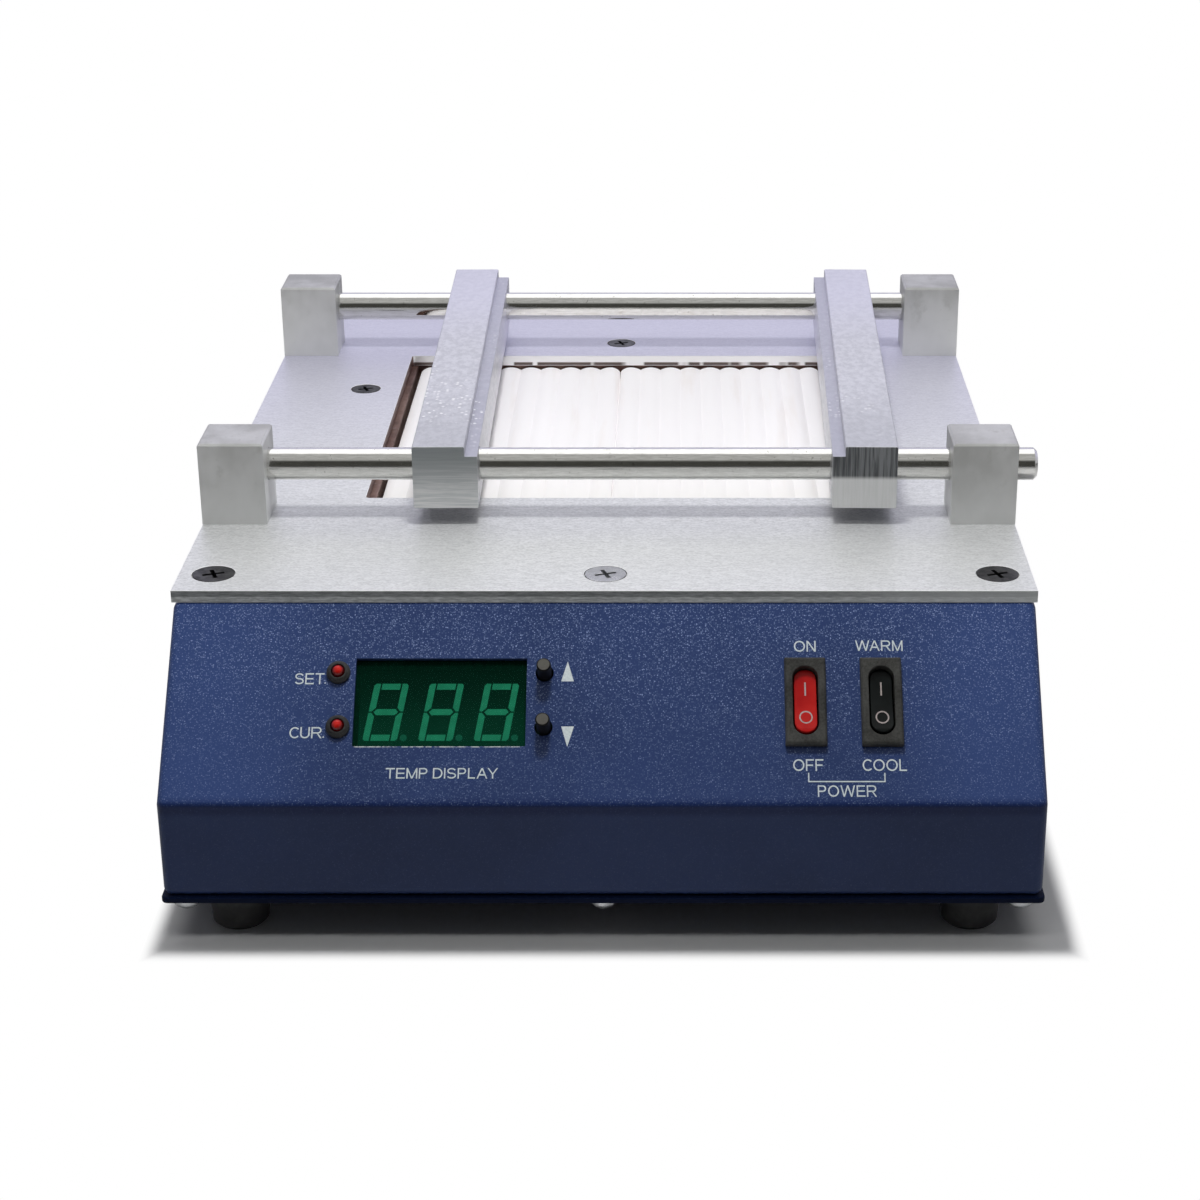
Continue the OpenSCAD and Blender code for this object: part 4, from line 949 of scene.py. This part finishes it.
# Other marks on the panel: places across it and down the slope, and sizes
STOPS = ((-63.35 * MM, 19.9 * MM), (-63.05 * MM, 33.0 * MM))
STOP_RADIUS = 0.18 * MM
ARROW_UP = (-8.2 * MM, 19.5 * MM)
ARROW_DOWN = (-8.0 * MM, 35.35 * MM)
ARROW_HALF = 1.45 * MM
ARROW_TALL = 4.9 * MM
BRACKET = (46.1 * MM, 43.75 * MM)
BRACKET_WIDE = 17.35 * MM
BRACKET_DEEP = 2.2 * MM
BRACKET_LINE = 0.28 * MM


def print_panel():
    """Words, their stops, arrows and the bracket that are printed on the panel."""
    ink = white_ink("panel_ink", (0.68, 0.74, 0.73), (0.47, 0.54, 0.57))
    for name, (text, left, right, top, bottom) in WORDS.items():
        printed_word(name, text, left, right, top, bottom, ink)
    stops = bmesh.new()
    for x, s in STOPS:
        prism(stops, circle(STOP_RADIUS, 12, (x, -s)), INK_THICK)
    add_mesh("word_stops", stops, ink, "housing", on_panel(0, 0, INK_LIFT))
    half, tall = ARROW_HALF, ARROW_TALL
    arrow = bmesh.new()
    prism(arrow, [(-half, 0), (half, 0), (0, tall)], INK_THICK)
    add_mesh("arrow_up", arrow, ink, "housing", on_panel(*ARROW_UP, INK_LIFT))
    arrow = bmesh.new()
    prism(arrow, [(-half, tall), (0, 0), (half, tall)], INK_THICK)
    add_mesh("arrow_down", arrow, ink, "housing", on_panel(*ARROW_DOWN, INK_LIFT))
    bracket = bmesh.new()
    wide, deep, line = BRACKET_WIDE, BRACKET_DEEP, BRACKET_LINE
    sides = ((0, line, line, deep), (wide - line, wide, line, deep), (0, wide, 0, line))
    for left, right, low, high in sides:
        prism(bracket, [(left, low), (right, low), (right, high), (left, high)], INK_THICK)
    add_mesh("power_bracket", bracket, ink, "housing", on_panel(*BRACKET, INK_LIFT))


# Display digits: how many, and their sizes
DIGIT_COUNT = 3
DIGIT_TALL = 13.9 * MM
DIGIT_WIDE = 7.85 * MM
DIGIT_PITCH = 12.65 * MM
DIGIT_LEFT = -54.8 * MM
DIGIT_BOTTOM = 32.3 * MM
DIGIT_DEEP = -4.3 * MM
SEGMENT = 1.45 * MM
SEGMENT_GAP = 0.36 * MM
SLANT = 0.16
SEGMENT_THICK = 0.06 * MM
SEGMENT_ROUND = 0.45 * MM
POINT_RADIUS = 0.8 * MM
POINT_RIGHT = 1.45 * MM
POINT_UP = 0.7 * MM


def segment_outlines():
    """Outlines of the seven segments, upright, from the digit's lower left corner."""
    w, h, t, g = DIGIT_WIDE, DIGIT_TALL, SEGMENT, SEGMENT_GAP
    mid = h / 2
    flat = [(t + g, 0), (w - t - g, 0), (w - t - g, t), (t + g, t)]
    upright = [
        (SEGMENT_ROUND, 0), (t, 0), (t, mid - t / 2 - g),
        (t * 0.45, mid - g / 2), (0, mid - g / 2), (0, SEGMENT_ROUND)
    ]
    middle = [
        (t + g, mid - t / 2), (w - t - g, mid - t / 2), (w - t * 0.55 - g, mid),
        (w - t - g, mid + t / 2), (t + g, mid + t / 2), (t * 0.55 + g, mid)
    ]
    across = [(w - x, y) for x, y in upright][::-1]
    over = [(x, h - y) for x, y in upright][::-1]
    both = [(w - x, h - y) for x, y in upright]
    top = [(x, h - y) for x, y in flat][::-1]
    return [flat, top, middle, upright, across, over, both]


def build_digits():
    """Three slanted digits, each with its point, on the display's face."""
    digits = bmesh.new()
    points = bmesh.new()
    for i in range(DIGIT_COUNT):
        left = i * DIGIT_PITCH
        for outline in segment_outlines():
            prism(digits, [(left + x + y * SLANT, y) for x, y in outline], SEGMENT_THICK)
        center = (left + DIGIT_WIDE + POINT_RIGHT, POINT_UP)
        prism(points, circle(POINT_RADIUS, 20, center), SEGMENT_THICK)
    place = on_panel(DIGIT_LEFT, DIGIT_BOTTOM, DIGIT_DEEP)
    bright = lit_segment("lit_segment", (0.030, 0.440, 0.225))
    faint = lit_segment("faint_segment", (0.012, 0.190, 0.105))
    for name, shape, material in (("display_digits", digits, bright), ("display_points", points, faint)):
        add_mesh(name, shape, material, "housing", place)


# Rocker marks, round the switch's middle: the line's half width and ends, the ring's middle and radii
LINE_HALF = 0.17 * MM
LINE_ENDS = (1.6 * MM, 4.9 * MM)
LINE_STEPS = 6
RING_MIDDLE = -4.0 * MM
RING_RADII = (1.53 * MM, 1.23 * MM)
RING_STRETCH = 1.08
# Height over the panel from which the rockers' faces are sought
RAY_START = 10 * MM


def laid_on(node, name, outlines, x, material, body):
    """Flat marks, given round the switch's middle as two rows of points, laid on a rocker's curved face."""
    mesh = nodes[node].data
    tree = BVHTree.FromPolygons([v.co for v in mesh.vertices], [p.vertices for p in mesh.polygons])
    marks = bmesh.new()
    for closed, sides in outlines:
        rows = []
        for points in sides:
            row = []
            for px, py in points:
                start = on_panel(x + px, SWITCH_S - py, RAY_START).translation
                hit = tree.ray_cast(start, -PANEL_OUT)[0]
                under = marks.verts.new(hit - PANEL_OUT * INK_LIFT)
                over = marks.verts.new(hit + PANEL_OUT * INK_THICK)
                row.append((under, over))
            rows.append(row)
        count = len(rows[0])
        for i in range(count if closed else count - 1):
            j = (i + 1) % count
            (a0, a1), (b0, b1) = rows[0][i], rows[0][j]
            (d0, d1), (c0, c1) = rows[1][i], rows[1][j]
            for face in ((a1, b1, c1, d1), (d0, c0, b0, a0), (a0, b0, b1, a1), (c0, d0, d1, c1)):
                marks.faces.new(face)
    bmesh.ops.recalc_face_normals(marks, faces=marks.faces[:])
    return add_mesh(name, marks, material, body)


def print_rockers():
    """The line and the ring on each rocker."""
    ink = white_ink("rocker_ink", (0.40, 0.35, 0.34), (0.30, 0.25, 0.24))
    low, high = LINE_ENDS
    rises = [low + (high - low) * i / LINE_STEPS for i in range(LINE_STEPS + 1)]
    line = [[(-LINE_HALF, y) for y in rises], [(LINE_HALF, y) for y in rises]]
    ring = []
    for radius in RING_RADII:
        ring.append([(px, RING_STRETCH * py + RING_MIDDLE) for px, py in circle(radius, 40)])
    marks = ((False, line), (True, ring))
    for kind in ("power", "heat"):
        low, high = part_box(kind + "_rocker")
        x = (low.x + high.x) / 2 - MIDDLE_X
        laid_on(kind + "_rocker", kind + "_rocker_marks", marks, x, ink, kind + "_key")


# Camera, light and floor

# The camera, placed from the middle of the plate's lower front edge
CAMERA_PLACE = PANEL_TOP + Vector((16.361 * MM, -533.123 * MM, 223.2 * MM))
CAMERA_TILT = math.radians(67.347)
CAMERA_LENS = 75.13
CAMERA_SENSOR = 36
CAMERA_SHIFT = -0.0628


def add_camera():
    data = bpy.data.cameras.new("camera")
    data.lens = CAMERA_LENS
    data.sensor_width = CAMERA_SENSOR
    data.shift_x = CAMERA_SHIFT
    data.clip_start = 10 * MM
    camera = bpy.data.objects.new("camera", data)
    camera.location = CAMERA_PLACE
    camera.rotation_euler = (CAMERA_TILT, 0, 0)
    bpy.context.scene.collection.objects.link(camera)
    bpy.context.scene.camera = camera


def add_lamp(name, place, target, size, power):
    """A rectangular lamp that points at a target and doesn't show in reflections."""
    data = bpy.data.lights.new(name, "AREA")
    data.shape = "RECTANGLE"
    data.size, data.size_y = size
    data.energy = power
    lamp = bpy.data.objects.new(name, data)
    lamp.location = place
    lamp.rotation_euler = (Vector(target) - Vector(place)).to_track_quat("-Z", "Y").to_euler()
    lamp.visible_glossy = False
    bpy.context.scene.collection.objects.link(lamp)


# A small bright lamp overhead, a wide soft one behind it and a long one over the front:
# place, target and size in metres, and power in watts
LAMPS = {
    "key": ((0.0, -0.087, 0.45), (0, -0.085, 0.07), (0.06, 0.06), 1.05),
    "overhead": ((0.0, 0.12, 0.76), (0, 0.02, 0.07), (0.9, 0.6), 1.3),
    "front": ((0.0, -0.42, 0.66), (0, -0.12, 0.05), (0.7, 0.10), 0.85),
}

# What reflections see: the dark front, its pale upper part, the sides, the rear and the white top
ROOM_FRONT = (0.055, 0.055, 0.05)
ROOM_UPPER = (0.46, 0.46, 0.45)
ROOM_SIDE = (0.46, 0.46, 0.47)
ROOM_REAR = (0.64, 0.63, 0.78)
ROOM_TOP = (1.4, 1.4, 1.4)
TOP_WAY = (0, 0.47, 0.883)
# The even light on everything, and what the camera sees behind the floor
DIM = (0.065, 0.067, 0.070)
WHITE = (1.0, 1.0, 1.0)


def add_world():
    """White to the camera, a dim even light, and in reflections a room with a dark front."""
    world = bpy.data.worlds.new("studio")
    bpy.context.scene.world = world
    world.use_nodes = True
    studio = NodeTree(world.node_tree)
    place = studio.node("ShaderNodeTexCoord").outputs["Generated"]
    path = studio.node("ShaderNodeLightPath")

    def toward(direction, low, high):
        """Share that rises with how far a ray points along a direction."""
        return studio.span(studio.dot(place, direction), low, high)

    room = studio.mix(toward((0, 0, 1), 0.52, 0.76), ROOM_FRONT, ROOM_UPPER)
    for side in (-1, 1):
        room = studio.mix(toward((side, 0, 0), 0.40, 0.75), room, ROOM_SIDE)
    room = studio.mix(toward((0, 1, 0), 0.05, 0.60), room, ROOM_REAR)
    room = studio.mix(toward(TOP_WAY, 0.86, 0.94), room, ROOM_TOP)
    light = studio.mix(path.outputs["Is Glossy Ray"], DIM, room)
    light = studio.mix(path.outputs["Is Transmission Ray"], light, WHITE)
    light = studio.mix(path.outputs["Is Camera Ray"], light, WHITE)
    studio.put(studio.tree.nodes["Background"].inputs["Color"], light)


# Distances from the part's box between which the floor fades from its own shade to white
FADE_BESIDE = (0, 5 * MM)
FADE_BEFORE = (1.6 * MM, 7.5 * MM)
FLOOR_RADIUS = 3.0
FLOOR_THICK = 2 * MM


def add_floor():
    """White floor that keeps the shadow near the object and fades to white away from it."""
    floor_data = bmesh.new()
    prism(floor_data, circle(FLOOR_RADIUS, 64), FLOOR_THICK)
    mesh = bpy.data.meshes.new("floor")
    floor_data.to_mesh(mesh)
    floor_data.free()
    floor = bpy.data.objects.new("floor", mesh)
    floor.location = (0, 0, -FLOOR_THICK)
    bpy.context.scene.collection.objects.link(floor)
    made = Finish("floor_white", (0.90, 0.90, 0.90), 0.6)
    beside = made.math("SUBTRACT", made.math("ABSOLUTE", made.axis("X")), cad_box[1].x)
    before = made.math("SUBTRACT", made.math("ABSOLUTE", made.axis("Y")), cad_box[1].y)
    share = made.math("MAXIMUM", made.span(beside, *FADE_BESIDE), made.span(before, *FADE_BEFORE))
    path = made.node("ShaderNodeLightPath")
    seen = made.math("MULTIPLY", share, path.outputs["Is Camera Ray"])
    glow = made.node("ShaderNodeEmission")
    glow.inputs["Strength"].default_value = 1.0
    mix = made.node("ShaderNodeMixShader")
    made.put(mix.inputs["Fac"], seen)
    made.put(mix.inputs[1], made.shader.outputs["BSDF"])
    made.put(mix.inputs[2], glow.outputs["Emission"])
    output = made.tree.nodes["Material Output"]
    made.put(output.inputs["Surface"], mix.outputs["Shader"])
    mesh.materials.append(made.material)


dress_nodes()
print_panel()
build_digits()
print_rockers()
add_camera()
for lamp_name, settings in LAMPS.items():
    add_lamp(lamp_name, *settings)
add_world()
add_floor()
bpy.context.scene.view_settings.view_transform = "Standard"

bpy.context.view_layer.update()
